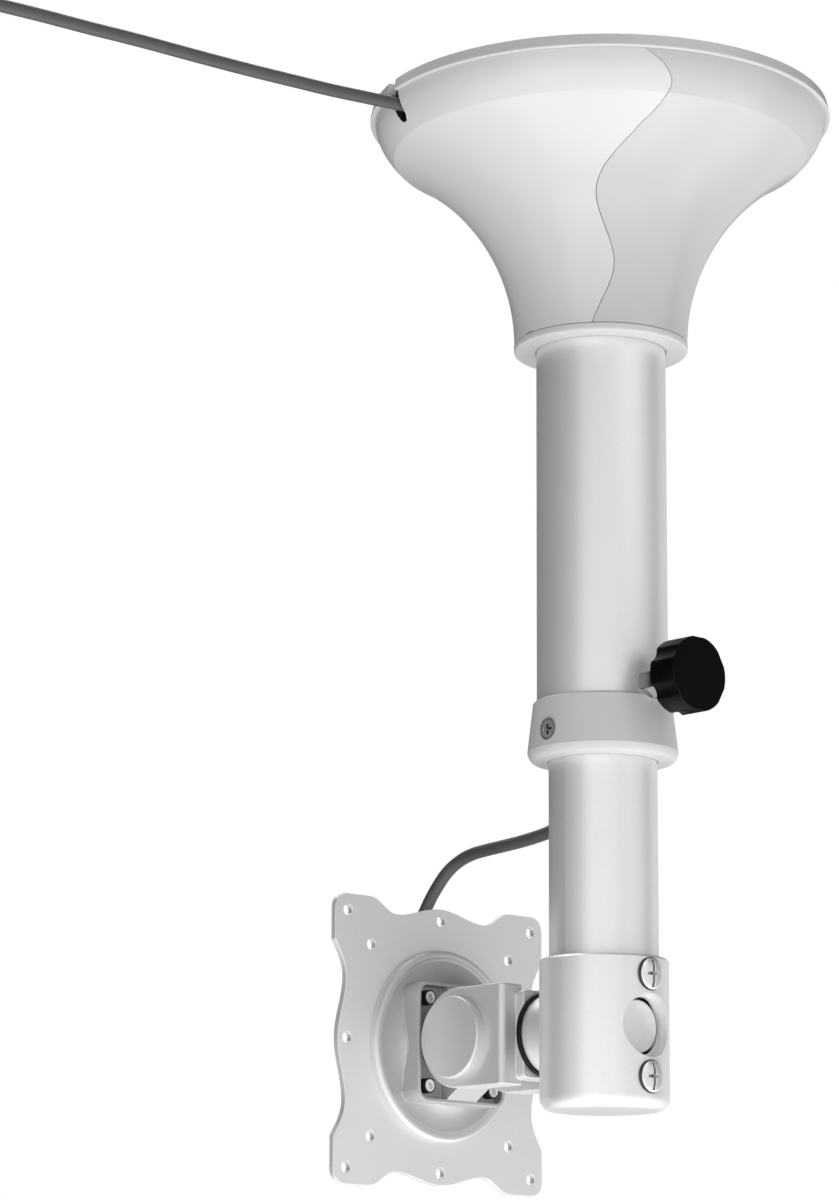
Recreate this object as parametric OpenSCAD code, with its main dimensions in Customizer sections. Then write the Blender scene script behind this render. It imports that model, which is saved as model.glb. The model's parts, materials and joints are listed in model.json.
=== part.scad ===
// Ceiling mount for a screen: a telescopic post under a bell-shaped cover, with a tilting plate.
// The origin is the centre of the face that meets the ceiling, +Z is up and the screen faces -Y.

/* [Ceiling plate] */
// Radius of the ceiling plate at its top edge
plate_r = 90.8; // [85:0.2:100]
// How far the skirt's lower edge stands out beyond the top edge
plate_flare = 1.1; // [0:0.1:2]
// Thickness of the ceiling plate
plate_t = 3; // [2:0.5:4]
// Height of the skirt round the ceiling plate
skirt_h = 5; // [4:0.5:8]
// Thickness of that skirt
skirt_t = 3; // [2:0.5:4]
// Circle through the holes for the ceiling screws
anchor_circle = 136; // [120:1:150]
// Radius of each of those holes
anchor_hole_r = 3.5; // [2.5:0.25:4.5]
// Number of ceiling screws
anchor_count = 4; // [3:1:6]
// Bearing of the lead's way in, seen from above
lead_way_angle = -18.5; // [-30:0.5:-10]

/* [Tube socket] */
// Radius of the socket's flange under the plate
flange_r = 48; // [44:1:54]
// Thickness of the flange
flange_t = 4; // [3:0.5:6]
// Outer radius of the socket's cup
socket_r = 31; // [29.5:0.5:34]
// Depth of the cup below the flange
socket_h = 27; // [22:1:32]
// Circle through the screws that hold the flange
flange_circle = 80; // [76:1:84]
// Radius of those screws
flange_screw_r = 3; // [2.5:0.5:3]
// Number of those screws
flange_screws = 4; // [3:1:6]

/* [Cover] */
// Radius of the cover's wall at its top edge
cover_r = 90; // [84:0.5:90.5]
// Wall thickness of the cover
cover_wall = 2.4; // [1.6:0.2:3]
// Depth of the bell from the ceiling to its lower end
cover_depth = 96.6; // [90:0.2:100]
// Radius of the bell's neck at its lower end
cover_neck_r = 34.2; // [32:0.2:36]
// Reach of the neck's sweep, outwards
sweep_r = 105.4; // [100:0.2:110]
// Height of the neck's sweep
sweep_h = 92; // [90:0.5:96]
// Depth at which the upper wall turns into the bell
shoulder_depth = 16; // [14:0.5:18]
// Half height of the rounding there
shoulder_round = 5.5; // [3:0.5:7]
// Gap of the seam between the cover's halves
seam_gap = 0.3; // [0.1:0.1:0.6]
// Width of the lead's slot in the rim
slot_w = 6; // [5.4:0.2:8]
// Depth of that slot below the ceiling
slot_depth = 16; // [13:0.5:18]
// Outer radius of the ring that holds the halves together
ring_r = 34.3; // [33:0.1:36]
// Height of that ring's visible band
ring_h = 3.3; // [2:0.1:5]

/* [Post] */
// Outer radius of the upper tube
upper_r = 25.5; // [24.5:0.1:26]
// Wall thickness of both tubes
tube_wall = 2; // [1.6:0.1:2.4]
// Depth of the upper tube's lower end below the ceiling
upper_depth = 261.5; // [240:0.5:280]
// Outer radius of the lower tube
lower_r = 21; // [20:0.1:21.4]
// How far the lower tube reaches up into the upper one
tube_overlap = 221; // [160:1:222]
// How far the lower tube shows between collar and end cap
lower_show = 76.5; // [60:0.5:100]
// Running clearance of the two glides
glide_gap = 0.05; // [0.02:0.01:0.1]
// Length of the sleeve in the upper tube's end
sleeve_h = 44; // [30:1:60]
// Height of the ring round the lower tube's top
top_glide_h = 18; // [14:1:24]

/* [Collar and clamp] */
// Radius of the collar at its top
collar_top_r = 27; // [26.6:0.1:28]
// Radius of the collar above its lower rounding
collar_low_r = 29.2; // [28:0.1:31]
// Height of the collar
collar_h = 23.5; // [20:0.5:30]
// Thickness of the collar's lip under the upper tube
collar_lip = 2.5; // [2:0.5:4]
// Radius of the collar's lower rounding
collar_round = 2.8; // [1:0.1:3.5]
// Bearing of the collar's first screw, seen from above
collar_screw_angle = -3.5; // [-20:0.5:20]
// Height of the knob's axis above the collar's top
knob_lift = 4.5; // [4:0.5:10]
// Radius of the knob over its lobes
knob_r = 14.5; // [12:0.5:17]
// Height of the knob along its axis
knob_h = 12.5; // [10:0.5:15]
// Number of the knob's lobes
knob_lobes = 6; // [5:1:8]
// Radius of the scallops between the lobes
scallop_r = 4.6; // [3:0.1:6]
// Depth of those scallops
scallop_depth = 1.6; // [1:0.1:2.2]
// Distance from the post's axis to the knob's inner face
knob_seat = 39; // [37:0.5:42]
// Radius of the clamp stud's thread
stud_r = 3; // [2.5:0.5:4]
// Width of the clamp nut over its flats
clamp_nut_w = 10; // [8:0.5:13]
// Height of the clamp nut
clamp_nut_h = 8; // [5:0.5:9]

/* [End cap] */
// Outer radius of the end cap
cap_r = 24.75; // [24:0.25:26]
// Height of the end cap
cap_h = 57.5; // [54:0.5:66]
// Radius of the rounding round the cap's lower edge
cap_round = 5; // [2:0.5:5]
// Thickness of the cap's floor
cap_floor = 6; // [5.5:0.5:8]
// Height of the roll axis above the cap's underside
roll_lift = 31; // [29:0.5:33]
// Radius of the window at the back of the cap
window_r = 11.5; // [11.2:0.1:12.5]
// Distance from the window's centre to each cap screw
cap_screw_offset = 19.3; // [19.2:0.1:20]
// Radius of the cap screws' heads
cap_head_r = 6.15; // [5:0.05:6.5]
// Radius of the neck that carries the fork
neck_r = 15.6; // [15:0.1:16.5]
// Distance from the post's axis to the neck's end face
neck_end = 29; // [28:0.5:32]

/* [Roll joint] */
// Radius of the roll bolt's head and of the spacer under it
roll_head_r = 10.8; // [10:0.1:11]
// Radius of the roll bolt's shank
roll_bolt_r = 4; // [3:0.5:4]
// Radius of the friction washer on the neck
washer_r = 16.6; // [15.6:0.1:18]
// Thickness of the friction washer
washer_t = 2; // [1.5:0.5:3]

/* [Tilt fork] */
// Width of the web that the roll bolt clamps
web_w = 25.2; // [22:0.2:30]
// Height of that web
web_h = 34; // [30:0.5:38]
// How far the web stands out behind the cheeks
web_step = 4.4; // [3:0.1:6]
// Thickness of the web from its seat towards the screen
web_t = 10; // [9:0.5:11]
// Width of the fork over its cheeks
fork_w = 40; // [38:0.5:42]
// Thickness of each cheek
cheek_t = 11; // [10:0.5:11.5]
// Distance from the washer's far face to the tilt axis
tilt_reach = 30; // [29:0.5:34]
// Radius of the cheeks' rounded ends, half of the fork's height
cheek_r = 19.5; // [18:0.5:20.5]
// Radius of the tilt bolt
tilt_bolt_r = 4; // [3:0.5:4]
// Radius of the round covers over the tilt bolt
pivot_cover_r = 16; // [14:0.5:16.5]
// Thickness of those covers
pivot_cover_t = 4; // [3:0.5:5]

/* [Screen plate] */
// Distance from the tilt axis to the plate's near face
plate_reach = 30; // [29.5:0.5:34]
// Thickness of the screen plate
screen_plate_t = 2.5; // [2:0.5:4]
// Half width of the screen plate over its corners
plate_half = 56.5; // [54:0.5:60]
// Half width of the plate at the middle of an edge
edge_half = 54.8; // [53.5:0.1:56]
// Half width of the plate at the hollows of its edges
hollow_half = 50.6; // [48:0.1:52]
// Distance along an edge from its middle to a hollow
hollow_at = 24; // [20:0.5:28]
// Distance along an edge from its middle to the straight corner
corner_at = 38; // [34:0.5:42]
// Radius of the plate's corners
corner_r = 5.5; // [2:0.5:8]
// Large square hole pattern for screens
large_pattern = 100; // [100]
// Small square hole pattern for screens
small_pattern = 75; // [75]
// Radius of the holes for screen screws
screen_hole_r = 2.25; // [2.1:0.05:2.75]
// Radius of the boss disc on the plate
boss_r = 38; // [36.5:0.5:40]
// Thickness of the boss disc
boss_t = 2.5; // [2:0.5:4]
// Width and height of the tilt base
base_w = 47; // [46:0.5:50]
// How far the tilt base stands out from the boss disc
base_h = 10; // [9.5:0.5:11]
// Corner radius of the tilt base
base_corner_r = 5; // [3:0.5:8]
// Thickness of the tilt base's rim
base_rim = 1.5; // [1:0.5:2]
// Depth of the tilt base's recess inside its rim
base_recess = 4; // [3:0.5:5]
// Height of the flared foot round the tilt base
foot_h = 5; // [3:0.5:6]
// Distance from the tilt base's sides to its four screws
base_screw_inset = 6.25; // [6:0.25:8]
// Radius of the lug round the tilt axis
lug_r = 11; // [10.5:0.5:15]
// Width of the lug between the fork's cheeks
lug_w = 16; // [15:0.5:16.5]

/* [Leads] */
// Radius of both leads
lead_r = 2.5; // [2:0.25:3]
// Sides of a lead's round section
lead_sides = 10; // [8:1:12]
// Radius of the outlet on the ceiling at the lead's far end
outlet_r = 14; // [12:1:18]
// Height of that outlet
outlet_h = 12; // [8:1:16]
// Radius of the lead's way out of the lower tube
exit_r = 5.5; // [4.5:0.5:6]
// Depth of that way out below the ceiling
exit_depth = 286.5; // [280:0.5:300]

/* [Hidden] */
$fn = 96;

// Clearances, and the overrun of every cut
fit_gap = 0.05;
loose_gap = 0.3;
cut = 1;

// Turn that brings a hexagon's flat to where its corner was
hex_turn = 30;

// Colours
paint = [0.80, 0.80, 0.80];
white = [0.92, 0.92, 0.91];
pale = [0.78, 0.78, 0.78];
steel = [0.68, 0.69, 0.70];
chrome = [0.88, 0.88, 0.88];
black = [0.06, 0.06, 0.06];
lead_grey = [0.30, 0.30, 0.30];
nylon = [0.88, 0.87, 0.83];

// Heights down the post
flange_z = -plate_t;
cup_z = flange_z - flange_t;
ring_z = -cover_depth;
upper_end_z = -upper_depth;
collar_end_z = upper_end_z - collar_lip;
collar_z = collar_end_z + collar_h;
knob_z = collar_z + knob_lift;
cap_z = collar_end_z - lower_show;
cap_end_z = cap_z - cap_h;
roll_z = cap_end_z + roll_lift;
lower_end_z = cap_end_z + cap_floor;
lower_top_z = upper_end_z + tube_overlap;
exit_z = -exit_depth;

// Radii inside the tubes
upper_bore = upper_r - tube_wall;
lower_bore = lower_r - tube_wall;

// Glide groove near the lower tube's top
groove_depth = 0.8;
groove_h = 6;
groove_drop = 6;
groove_z = lower_top_z - groove_drop - groove_h;
glide_z = groove_z - (top_glide_h - groove_h) / 2;

// Lead's way through the socket and the upper tube
way_r = 4;
way_z = cup_z - way_r - fit_gap - cut;

// Bearing of the first ceiling screw and the first flange screw, clear of the lead
screw_turn = lead_way_angle + 45;
flange_nut_w = 10;
flange_nut_h = 5;
flange_screw_head_r = 6;
flange_head_h = flange_screw_head_r - flange_screw_r;
flange_screw_tail = 2;
flange_screw_end = plate_t + flange_t + flange_nut_h + flange_screw_tail;
flange_key_w = 4;
flange_key_deep = 2.4;

// Set screws that hold the upper tube in its socket
set_screw_r = 3;
set_screw_drop = 17.5;
set_screw_z = cup_z - set_screw_drop;
set_screw_out = 2.5;
set_screw_socket_w = 3;
set_screw_socket_h = 3;

// Cover
neck_centre_r = cover_neck_r + sweep_r;
wall_lean = 0.2;
inner_shoulder_share = 0.4;
sweep_steps = 22;
round_steps = 5;
edge_round_steps = 3;
lip_t = 1.8;
lip_h = skirt_h - plate_t - loose_gap;
ring_lip_h = 5;
ring_lip_t = 2;
ring_edge = 0.8;
seam_bearing = 48;
// The seam's outline, as shares of the cover's radius and depth
seam_shares = [
    [0.110, 0.040], [0.155, 0.065], [0.215, 0.105], [0.250, 0.165], [0.215, 0.220],
    [0.125, 0.290], [0.010, 0.390], [-0.040, 0.455], [-0.050, 0.520], [-0.022, 0.600],
    [0.017, 0.685], [0.034, 0.757], [0.018, 0.832], [-0.037, 0.950], [-0.060, 1.005]
];
seam_steps = 2;

// Collar
collar_bore = upper_r + fit_gap;
collar_mouth = lower_r + loose_gap;
collar_screw_r = 2;
collar_screw_head_r = 4.25;
collar_screw_head_h = 2.3;
collar_screw_rise = 10;
collar_screw_z = collar_end_z + collar_screw_rise;
collar_screw_deep = 21.8;
collar_cross_l = 4.4;
collar_cross_w = 0.8;
collar_cross_deep = 1.2;
collar_edge = 0.8;
notch_gap = 0.6;

// Clamp
window_gap = 0.3;
pad_r = stud_r - 2 * fit_gap;
pad_start = lower_r + fit_gap;
pad_h = 3.6;
stud_start = pad_start + pad_h;
stud_deep = 8;
nut_seat = sqrt(pow(upper_r, 2) - pow(clamp_nut_w / 2, 2)) - fit_gap * 2;
nut_chamfer = 0.9;
knob_edge = 1;
knob_neck_h = knob_seat - (nut_seat + clamp_nut_h) - loose_gap;
knob_neck_r = 5.5;

// End cap
cap_bore = lower_r + fit_gap;
cap_edge = 0.8;
cap_round_steps = 6;
spot_gap = 0.3;
spot_deep = 0.8;
cap_head_h = 2.6;
cap_head_dome = 1.3;
cap_screw_r = 2.5;
cap_screw_end = 13;
cross_w = 1.3;
cross_l = 6.4;
cross_deep = 1.4;
slot_l = 10.4;
slot_deep = 0.8;

// Roll joint, as distances from the post's axis towards the screen
roll_head_t = 4;
roll_head_edge = 1.2;
roll_head_at = -17.8;
spacer_start = roll_head_at + roll_head_t;
spacer_end = sqrt(pow(cap_bore, 2) - pow(roll_head_r, 2)) - fit_gap;
web_at = neck_end + washer_t;
web_seat_t = 4;
web_end = web_at + web_t;
roll_nut_w = 13;
roll_nut_h = 4.6;
roll_washer_r = 7.6;
roll_washer_t = 1.2;
nut_pocket_r = 8.4;
roll_tail = 0.8;
hex_key_w = 6;
hex_key_deep = 2.4;

// Fork and tilt joint
tilt_at = web_at + tilt_reach;
cheek_at = web_at + web_step;
cheek_gap = fork_w - 2 * cheek_t;
web_corner_r = 2;
cheek_corner_r = 2.5;
tilt_pocket_r = 8.2;
tilt_pocket = 6;
tilt_head_r = 6.5;
tilt_head_t = 5;
tilt_nut_w = 13;
tilt_nut_h = 5;
tilt_seat = fork_w / 2 - tilt_pocket;
tilt_washer_r = 10;
tilt_washer_t = (cheek_gap - lug_w) / 2 - fit_gap;
pivot_edge = 1.2;
pivot_spigot_h = 0.8;

// Screen side
screen_at = tilt_at + plate_reach;
boss_at = screen_at - boss_t;
base_at = boss_at - base_h;
floor_at = base_at + base_recess;
boss_lip = 3.6;
boss_lip_rise = 1;
base_head_r = 3;
base_head_h = 4;
base_screw_r = 2;
base_screw_pattern = base_w - 2 * base_screw_inset;
base_key_w = 2.5;
base_key_deep = 2;
lug_foot = base_w / 2 - base_rim;
lip_steps = 8;
foot_steps = 8;
edge_steps = 8;
corner_steps = 4;
smooth_bend = 180;
sharp_bend = 90;
plate_edge = 0.4;

// Leads
grommet_wall = 1.2;
grommet_lip = 1.4;
grommet_lip_t = 1.2;
ceiling_route = [
    [260, -62.2, -4], [236, -58.6, -4.2], [216, -55.8, -4.6], [195, -52.4, -5], [170, -48.2, -6],
    [146, -43.7, -7], [128, -40, -7.6], [111.5, -36.4, -8.2], [97, -32.3, -8.7],
    [84.6, -28.4, -9.2], [70, -23.4, -10], [55, -18.4, -11], [42, -14.1, -11.6],
    [32, -10.7, -12], [23, -7.7, -13], [15, -5, -16.5], [8.5, -2.8, -22.5], [4, -1.3, -31],
    [1.2, -0.4, -43], [0, 0, -60], [0, 0, -85], [0, 0, -110], [0, 0, -135],
    [0, 0, -160], [0, 0, -185], [0, 0, -210], [0, 0, -235]
];
screen_route = [
    [0, 0, -256], [0, -0.6, -264], [0, -3.6, -273], [0, -9.5, -280.5], [0, -18, -285.2],
    [-0.5, -30, -287.6], [-1.5, -45, -289.2], [-2.4, -57, -289.8], [-3.6, -69, -290.2],
    [-4.8, -79, -290.9], [-6, -87.5, -292.8], [-7, -94.5, -295.8], [-8, -100.5, -299.8],
    [-10, -110.5, -308.8], [-11.4, -118.5, -319.5], [-12.4, -124.8, -331.5],
    [-12.9, -129.2, -342], [-13, -130.8, -352], [-13, -131, -362], [-13, -131, -372]
];
route_steps = 3;
boot_h = 14;
boot_r = 3.6;
plug_h = 26;
plug_w = 14;
plug_t = 8;
plug_corner_r = 1.6;
plug_shell_h = 9;
plug_shell_w = 11.5;
plug_shell_t = 4.6;
outlet_edge = 3;
outlet_wall = 2;

// Places and shapes used by several pieces

module along_y(at, z) {
    translate([0, at, z]) rotate([-90, 0, 0]) children();
}

module screenward(at) {
    translate([0, -at, roll_z]) rotate([90, 0, 0]) children();
}

module at_bearing(angle, z) {
    rotate([0, 0, angle]) translate([0, 0, z]) rotate([0, 90, 0]) children();
}

module around(count, turn) {
    for (i = [0 : count - 1]) rotate([0, 0, turn + i * 360 / count]) children();
}

module tube(outer, inner, h) {
    difference() {
        cylinder(r = outer, h = h);
        translate([0, 0, -cut]) cylinder(r = inner, h = h + 2 * cut);
    }
}

module hexagon(width, h) {
    cylinder(r = width / sqrt(3), h = h, $fn = 6);
}

module chamfered_nut(width, h, bore) {
    wide = width / sqrt(3);
    difference() {
        intersection() {
            hexagon(width, h);
            rotate_extrude() polygon([
                [0, 0], [wide - nut_chamfer, 0], [wide, nut_chamfer / 2],
                [wide, h - nut_chamfer / 2], [wide - nut_chamfer, h], [0, h]
            ]);
        }
        translate([0, 0, -cut]) cylinder(r = bore, h = h + 2 * cut);
    }
}

module rounded_outline(w, h, corner) {
    square([w, h - 2 * corner], center = true);
    square([w - 2 * corner, h], center = true);
    for (x = [-1, 1]) for (y = [-1, 1])
        translate([x * (w / 2 - corner), y * (h / 2 - corner)]) circle(r = corner);
}

module rounded_block(w, corner, h) {
    linear_extrude(height = h) rounded_outline(w, w, corner);
}

module at_corners(pattern) {
    for (x = [-pattern, pattern] / 2) for (y = [-pattern, pattern] / 2) translate([x, y, 0]) children();
}

// Quarter round of a turned outline, from its side at radius r to its end at height h
function quarter_round(r, h, inward, down, steps) =
    [for (k = [0 : steps]) let (a = 90 * k / steps) [r - inward * (1 - cos(a)), h - down * (1 - sin(a))]];

// Smooth curve through a list of points
function span_point(a, b, c, d, t) =
    (2 * b + (c - a) * t + (2 * a - 5 * b + 4 * c - d) * t * t
    + (3 * b - a - 3 * c + d) * t * t * t) / 2;

function smooth(p, steps) = concat(
    [for (i = [0 : len(p) - 2]) for (k = [0 : steps - 1])
        span_point(p[max(i - 1, 0)], p[i], p[i + 1], p[min(i + 2, len(p) - 1)], k / steps)],
    [p[len(p) - 1]]
);

function heading(p, i) =
    let (step = p[min(i + 1, len(p) - 1)] - p[max(i - 1, 0)]) step / norm(step);

function ring_points(p, i, r, side, sides) =
    let (t = heading(p, i), across = cross(t, side), n = across / norm(across), m = cross(n, t))
    [for (k = [0 : sides - 1]) p[i] + r * (n * cos(360 * k / sides) + m * sin(360 * k / sides))];

// A round lead swept along a route; side is a direction that the route never takes
module swept_lead(route, side) {
    path = smooth(route, route_steps);
    last = (len(path) - 1) * lead_sides;
    points = [for (i = [0 : len(path) - 1]) each ring_points(path, i, lead_r, side, lead_sides)];
    walls = [
        for (i = [0 : len(path) - 2]) for (k = [0 : lead_sides - 1])
            let (a = i * lead_sides + k, b = i * lead_sides + (k + 1) % lead_sides)
            each [[a, b, b + lead_sides], [a, b + lead_sides, a + lead_sides]]
    ];
    near_end = [for (k = [1 : lead_sides - 2]) [0, k + 1, k]];
    far_end = [for (k = [1 : lead_sides - 2]) [last, last + k, last + k + 1]];
    polyhedron(points = points, faces = concat(walls, near_end, far_end));
}

// Ceiling plate and tube socket

module lead_slot(depth, from_r, to_r) {
    rotate([0, 0, lead_way_angle]) {
        translate([from_r, -slot_w / 2, -depth + slot_w / 2]) cube([to_r - from_r, slot_w, depth]);
        translate([from_r, 0, -depth + slot_w / 2]) rotate([0, 90, 0])
            cylinder(r = slot_w / 2, h = to_r - from_r);
    }
}

module ceiling_plate() {
    flared = plate_r + plate_flare;
    color(paint) difference() {
        rotate_extrude() polygon([
            [0, 0], [plate_r, 0], [flared, -skirt_h + plate_edge], [flared - plate_edge, -skirt_h],
            [plate_r - skirt_t, -skirt_h], [plate_r - skirt_t, -plate_t], [0, -plate_t]
        ]);
        lead_slot(slot_depth, plate_r - skirt_t - cut, flared + cut);
        around(anchor_count, screw_turn) translate([anchor_circle / 2, 0, -plate_t - cut])
            cylinder(r = anchor_hole_r, h = plate_t + 2 * cut);
        around(flange_screws, screw_turn) translate([flange_circle / 2, 0, 0]) {
            translate([0, 0, -plate_t - cut]) cylinder(r = flange_screw_r + fit_gap, h = plate_t + 2 * cut);
            translate([0, 0, -flange_head_h]) cylinder(
                r1 = flange_screw_r + fit_gap, r2 = flange_screw_head_r + fit_gap, h = flange_head_h);
        }
    }
}

module tube_socket() {
    color(paint) difference() {
        union() {
            translate([0, 0, cup_z]) cylinder(r = flange_r, h = flange_t);
            translate([0, 0, cup_z - socket_h]) cylinder(r = socket_r, h = socket_h + cut);
        }
        translate([0, 0, cup_z - socket_h - cut]) cylinder(r = upper_r + fit_gap, h = socket_h + cut);
        at_bearing(lead_way_angle, way_z) cylinder(r = way_r, h = socket_r + cut);
        around(2, lead_way_angle + 90) translate([0, 0, set_screw_z]) rotate([0, 90, 0])
            cylinder(r = set_screw_r + fit_gap, h = socket_r + cut);
        around(flange_screws, screw_turn) translate([flange_circle / 2, 0, cup_z - cut])
            cylinder(r = flange_screw_r + fit_gap, h = flange_t + 2 * cut);
    }
}

module flange_screws() {
    color(steel) around(flange_screws, screw_turn) translate([flange_circle / 2, 0, 0]) difference() {
        rotate_extrude() polygon([
            [0, -fit_gap], [flange_screw_head_r - 2 * fit_gap, -fit_gap],
            [flange_screw_r, -flange_head_h - fit_gap],
            [flange_screw_r, -flange_screw_end], [0, -flange_screw_end]
        ]);
        translate([0, 0, -flange_key_deep]) hexagon(flange_key_w, flange_key_deep + cut);
    }
}

module flange_nuts() {
    color(steel) around(flange_screws, screw_turn)
        translate([flange_circle / 2, 0, cup_z - flange_nut_h])
            chamfered_nut(flange_nut_w, flange_nut_h, flange_screw_r + fit_gap);
}

module socket_set_screws() {
    start = upper_r + fit_gap * 2;
    color(steel) around(2, lead_way_angle + 90) translate([0, 0, set_screw_z]) rotate([0, 90, 0])
        difference() {
            translate([0, 0, start]) cylinder(r = set_screw_r, h = socket_r + set_screw_out - start);
            translate([0, 0, socket_r + set_screw_out - set_screw_socket_h])
                hexagon(set_screw_socket_w, set_screw_socket_h + cut);
        }
}

// Cover

function wall_r(depth, inset) = cover_r - wall_lean * (depth - skirt_h) - inset;

function sweep_point(depth, inset) = [
    neck_centre_r - (sweep_r + inset) * sqrt(1 - pow((cover_depth - depth) / (sweep_h + inset), 2)),
    -depth
];

function bell_side(inset) =
    let (
        turn = shoulder_depth - inset * inner_shoulder_share,
        start = turn + shoulder_round,
        a = [wall_r(turn - shoulder_round, inset), shoulder_round - turn],
        b = [wall_r(turn, inset), -turn],
        c = sweep_point(start, inset)
    )
    concat(
        [[wall_r(skirt_h, inset), -skirt_h]],
        [for (k = [0 : round_steps - 1]) let (t = k / round_steps)
            a * (1 - t) * (1 - t) + b * 2 * t * (1 - t) + c * t * t],
        [for (k = [0 : sweep_steps]) sweep_point(start + (cover_depth - start) * k / sweep_steps, inset)]
    );

function backwards(list) = [for (i = [len(list) - 1 : -1 : 0]) list[i]];

module bell_shell() {
    lip_r = plate_r - skirt_t - loose_gap;
    difference() {
        union() {
            rotate_extrude() polygon(concat(bell_side(0), backwards(bell_side(cover_wall))));
            translate([0, 0, -skirt_h - cut]) tube(lip_r, lip_r - lip_t, lip_h + cut);
        }
        lead_slot(slot_depth, cover_neck_r, cover_r + cut);
    }
}

// The side of the seam that one half lies on, for the half of the bell that faces the seam's bearing
module seam_side(shift) {
    seam = smooth([for (s = seam_shares) [s[0] * cover_r + shift, -s[1] * cover_depth]], seam_steps);
    far = cover_r + cut;
    top = seam[0];
    low = seam[len(seam) - 1];
    rotate([90, 0, seam_bearing + 90]) linear_extrude(height = far + cut) polygon(concat(
        [[far, cut], [top[0], cut]],
        seam,
        [[low[0], -cover_depth - cut], [far, -cover_depth - cut]]
    ));
}

// The whole half of the bell that faces the seam's bearing
module seam_side_block() {
    far = cover_r + cut;
    rotate([0, 0, seam_bearing]) translate([0, -far, -cover_depth - cut])
        cube([far, 2 * far, cover_depth + 2 * cut]);
}

module bell_half() {
    near = seam_gap / 2;
    intersection() {
        bell_shell();
        union() {
            seam_side(near);
            rotate([0, 0, 180]) difference() {
                seam_side_block();
                seam_side(-near);
            }
        }
    }
}

module cover_rear_half() {
    color(white) bell_half();
}

module cover_front_half() {
    near = seam_gap / 2;
    color(white) difference() {
        bell_shell();
        union() {
            seam_side(-near);
            rotate([0, 0, 180]) difference() {
                seam_side_block();
                seam_side(near);
            }
        }
    }
}

module cover_ring() {
    lip_outer = cover_neck_r - cover_wall - loose_gap;
    lip_inner = lip_outer - ring_lip_t;
    hole = upper_r + loose_gap;
    low = ring_z - ring_h;
    color(pale) rotate_extrude() polygon([
        [hole, low], [ring_r - ring_edge, low], [ring_r, low + ring_edge], [ring_r, ring_z],
        [lip_outer, ring_z], [lip_outer, ring_z + ring_lip_h], [lip_inner, ring_z + ring_lip_h],
        [lip_inner, ring_z], [hole, ring_z]
    ]);
}

// Post

module upper_tube() {
    color(paint) difference() {
        translate([0, 0, upper_end_z]) tube(upper_r, upper_bore, cup_z - upper_end_z);
        at_bearing(lead_way_angle, way_z) cylinder(r = way_r, h = upper_r + cut);
        along_y(0, knob_z) cylinder(r = stud_r + window_gap * 2, h = upper_r + cut);
        around(2, collar_screw_angle) translate([0, 0, collar_screw_z]) rotate([0, 90, 0])
            cylinder(r = collar_screw_r + fit_gap, h = upper_r + cut);
    }
}

module glide_sleeve() {
    color(nylon) difference() {
        translate([0, 0, upper_end_z]) tube(upper_bore - fit_gap, lower_r + glide_gap, sleeve_h);
        along_y(0, knob_z) cylinder(r = pad_r + window_gap, h = upper_r);
        around(2, collar_screw_angle) translate([0, 0, collar_screw_z]) rotate([0, 90, 0])
            cylinder(r = collar_screw_r + fit_gap, h = upper_r);
    }
}

module collar() {
    inside_z = upper_end_z - fit_gap;
    color(pale) difference() {
        rotate_extrude() polygon(concat(
            [
                [collar_mouth, inside_z], [collar_bore, inside_z], [collar_bore, collar_z],
                [collar_top_r - collar_edge, collar_z], [collar_top_r, collar_z - collar_edge]
            ],
            quarter_round(collar_low_r, collar_end_z, collar_round, -collar_round, round_steps),
            [[collar_mouth, collar_end_z]]
        ));
        along_y(0, knob_z) cylinder(r = clamp_nut_w / sqrt(3) + notch_gap, h = collar_low_r + cut);
        around(2, collar_screw_angle) translate([0, 0, collar_screw_z]) rotate([0, 90, 0]) {
            cylinder(r = collar_screw_r + fit_gap, h = collar_low_r + cut);
            collar_head(fit_gap, cut);
        }
    }
}

module collar_head(grow, above) {
    top = collar_low_r - collar_edge;
    translate([0, 0, top - collar_screw_head_h]) {
        cylinder(r1 = collar_screw_r + grow, r2 = collar_screw_head_r + grow, h = collar_screw_head_h);
        translate([0, 0, collar_screw_head_h]) cylinder(r = collar_screw_head_r + grow, h = above);
    }
}

module collar_screws() {
    top = collar_low_r - collar_edge;
    color(steel) around(2, collar_screw_angle) translate([0, 0, collar_screw_z]) rotate([0, 90, 0])
        difference() {
            union() {
                translate([0, 0, collar_screw_deep])
                    cylinder(r = collar_screw_r, h = top - collar_screw_deep);
                collar_head(0, fit_gap);
            }
            cross_recess(top + fit_gap, collar_cross_l, collar_cross_w, collar_cross_deep);
        }
}

module cross_recess(top, long, wide, deep) {
    translate([0, 0, top - deep]) for (turn = [0, 90]) rotate([0, 0, turn])
        translate([-long / 2, -wide / 2, 0]) cube([long, wide, deep + cut]);
}

// Clamp at the post's back

module clamp_nut() {
    color(chrome) along_y(nut_seat, knob_z) rotate([0, 0, hex_turn])
        difference() {
            chamfered_nut(clamp_nut_w, clamp_nut_h, stud_r + fit_gap);
            translate([0, 0, -nut_seat]) rotate([0, 0, -hex_turn]) rotate([90, 0, 0])
                cylinder(r = upper_r + fit_gap, h = clamp_nut_w * 2, center = true);
        }
}

module pressure_pad() {
    color(nylon) along_y(pad_start, knob_z) cylinder(r = pad_r, h = pad_h);
}

module clamp_stud() {
    color(steel) along_y(stud_start, knob_z) cylinder(r = stud_r, h = knob_seat + stud_deep - stud_start);
}

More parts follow.
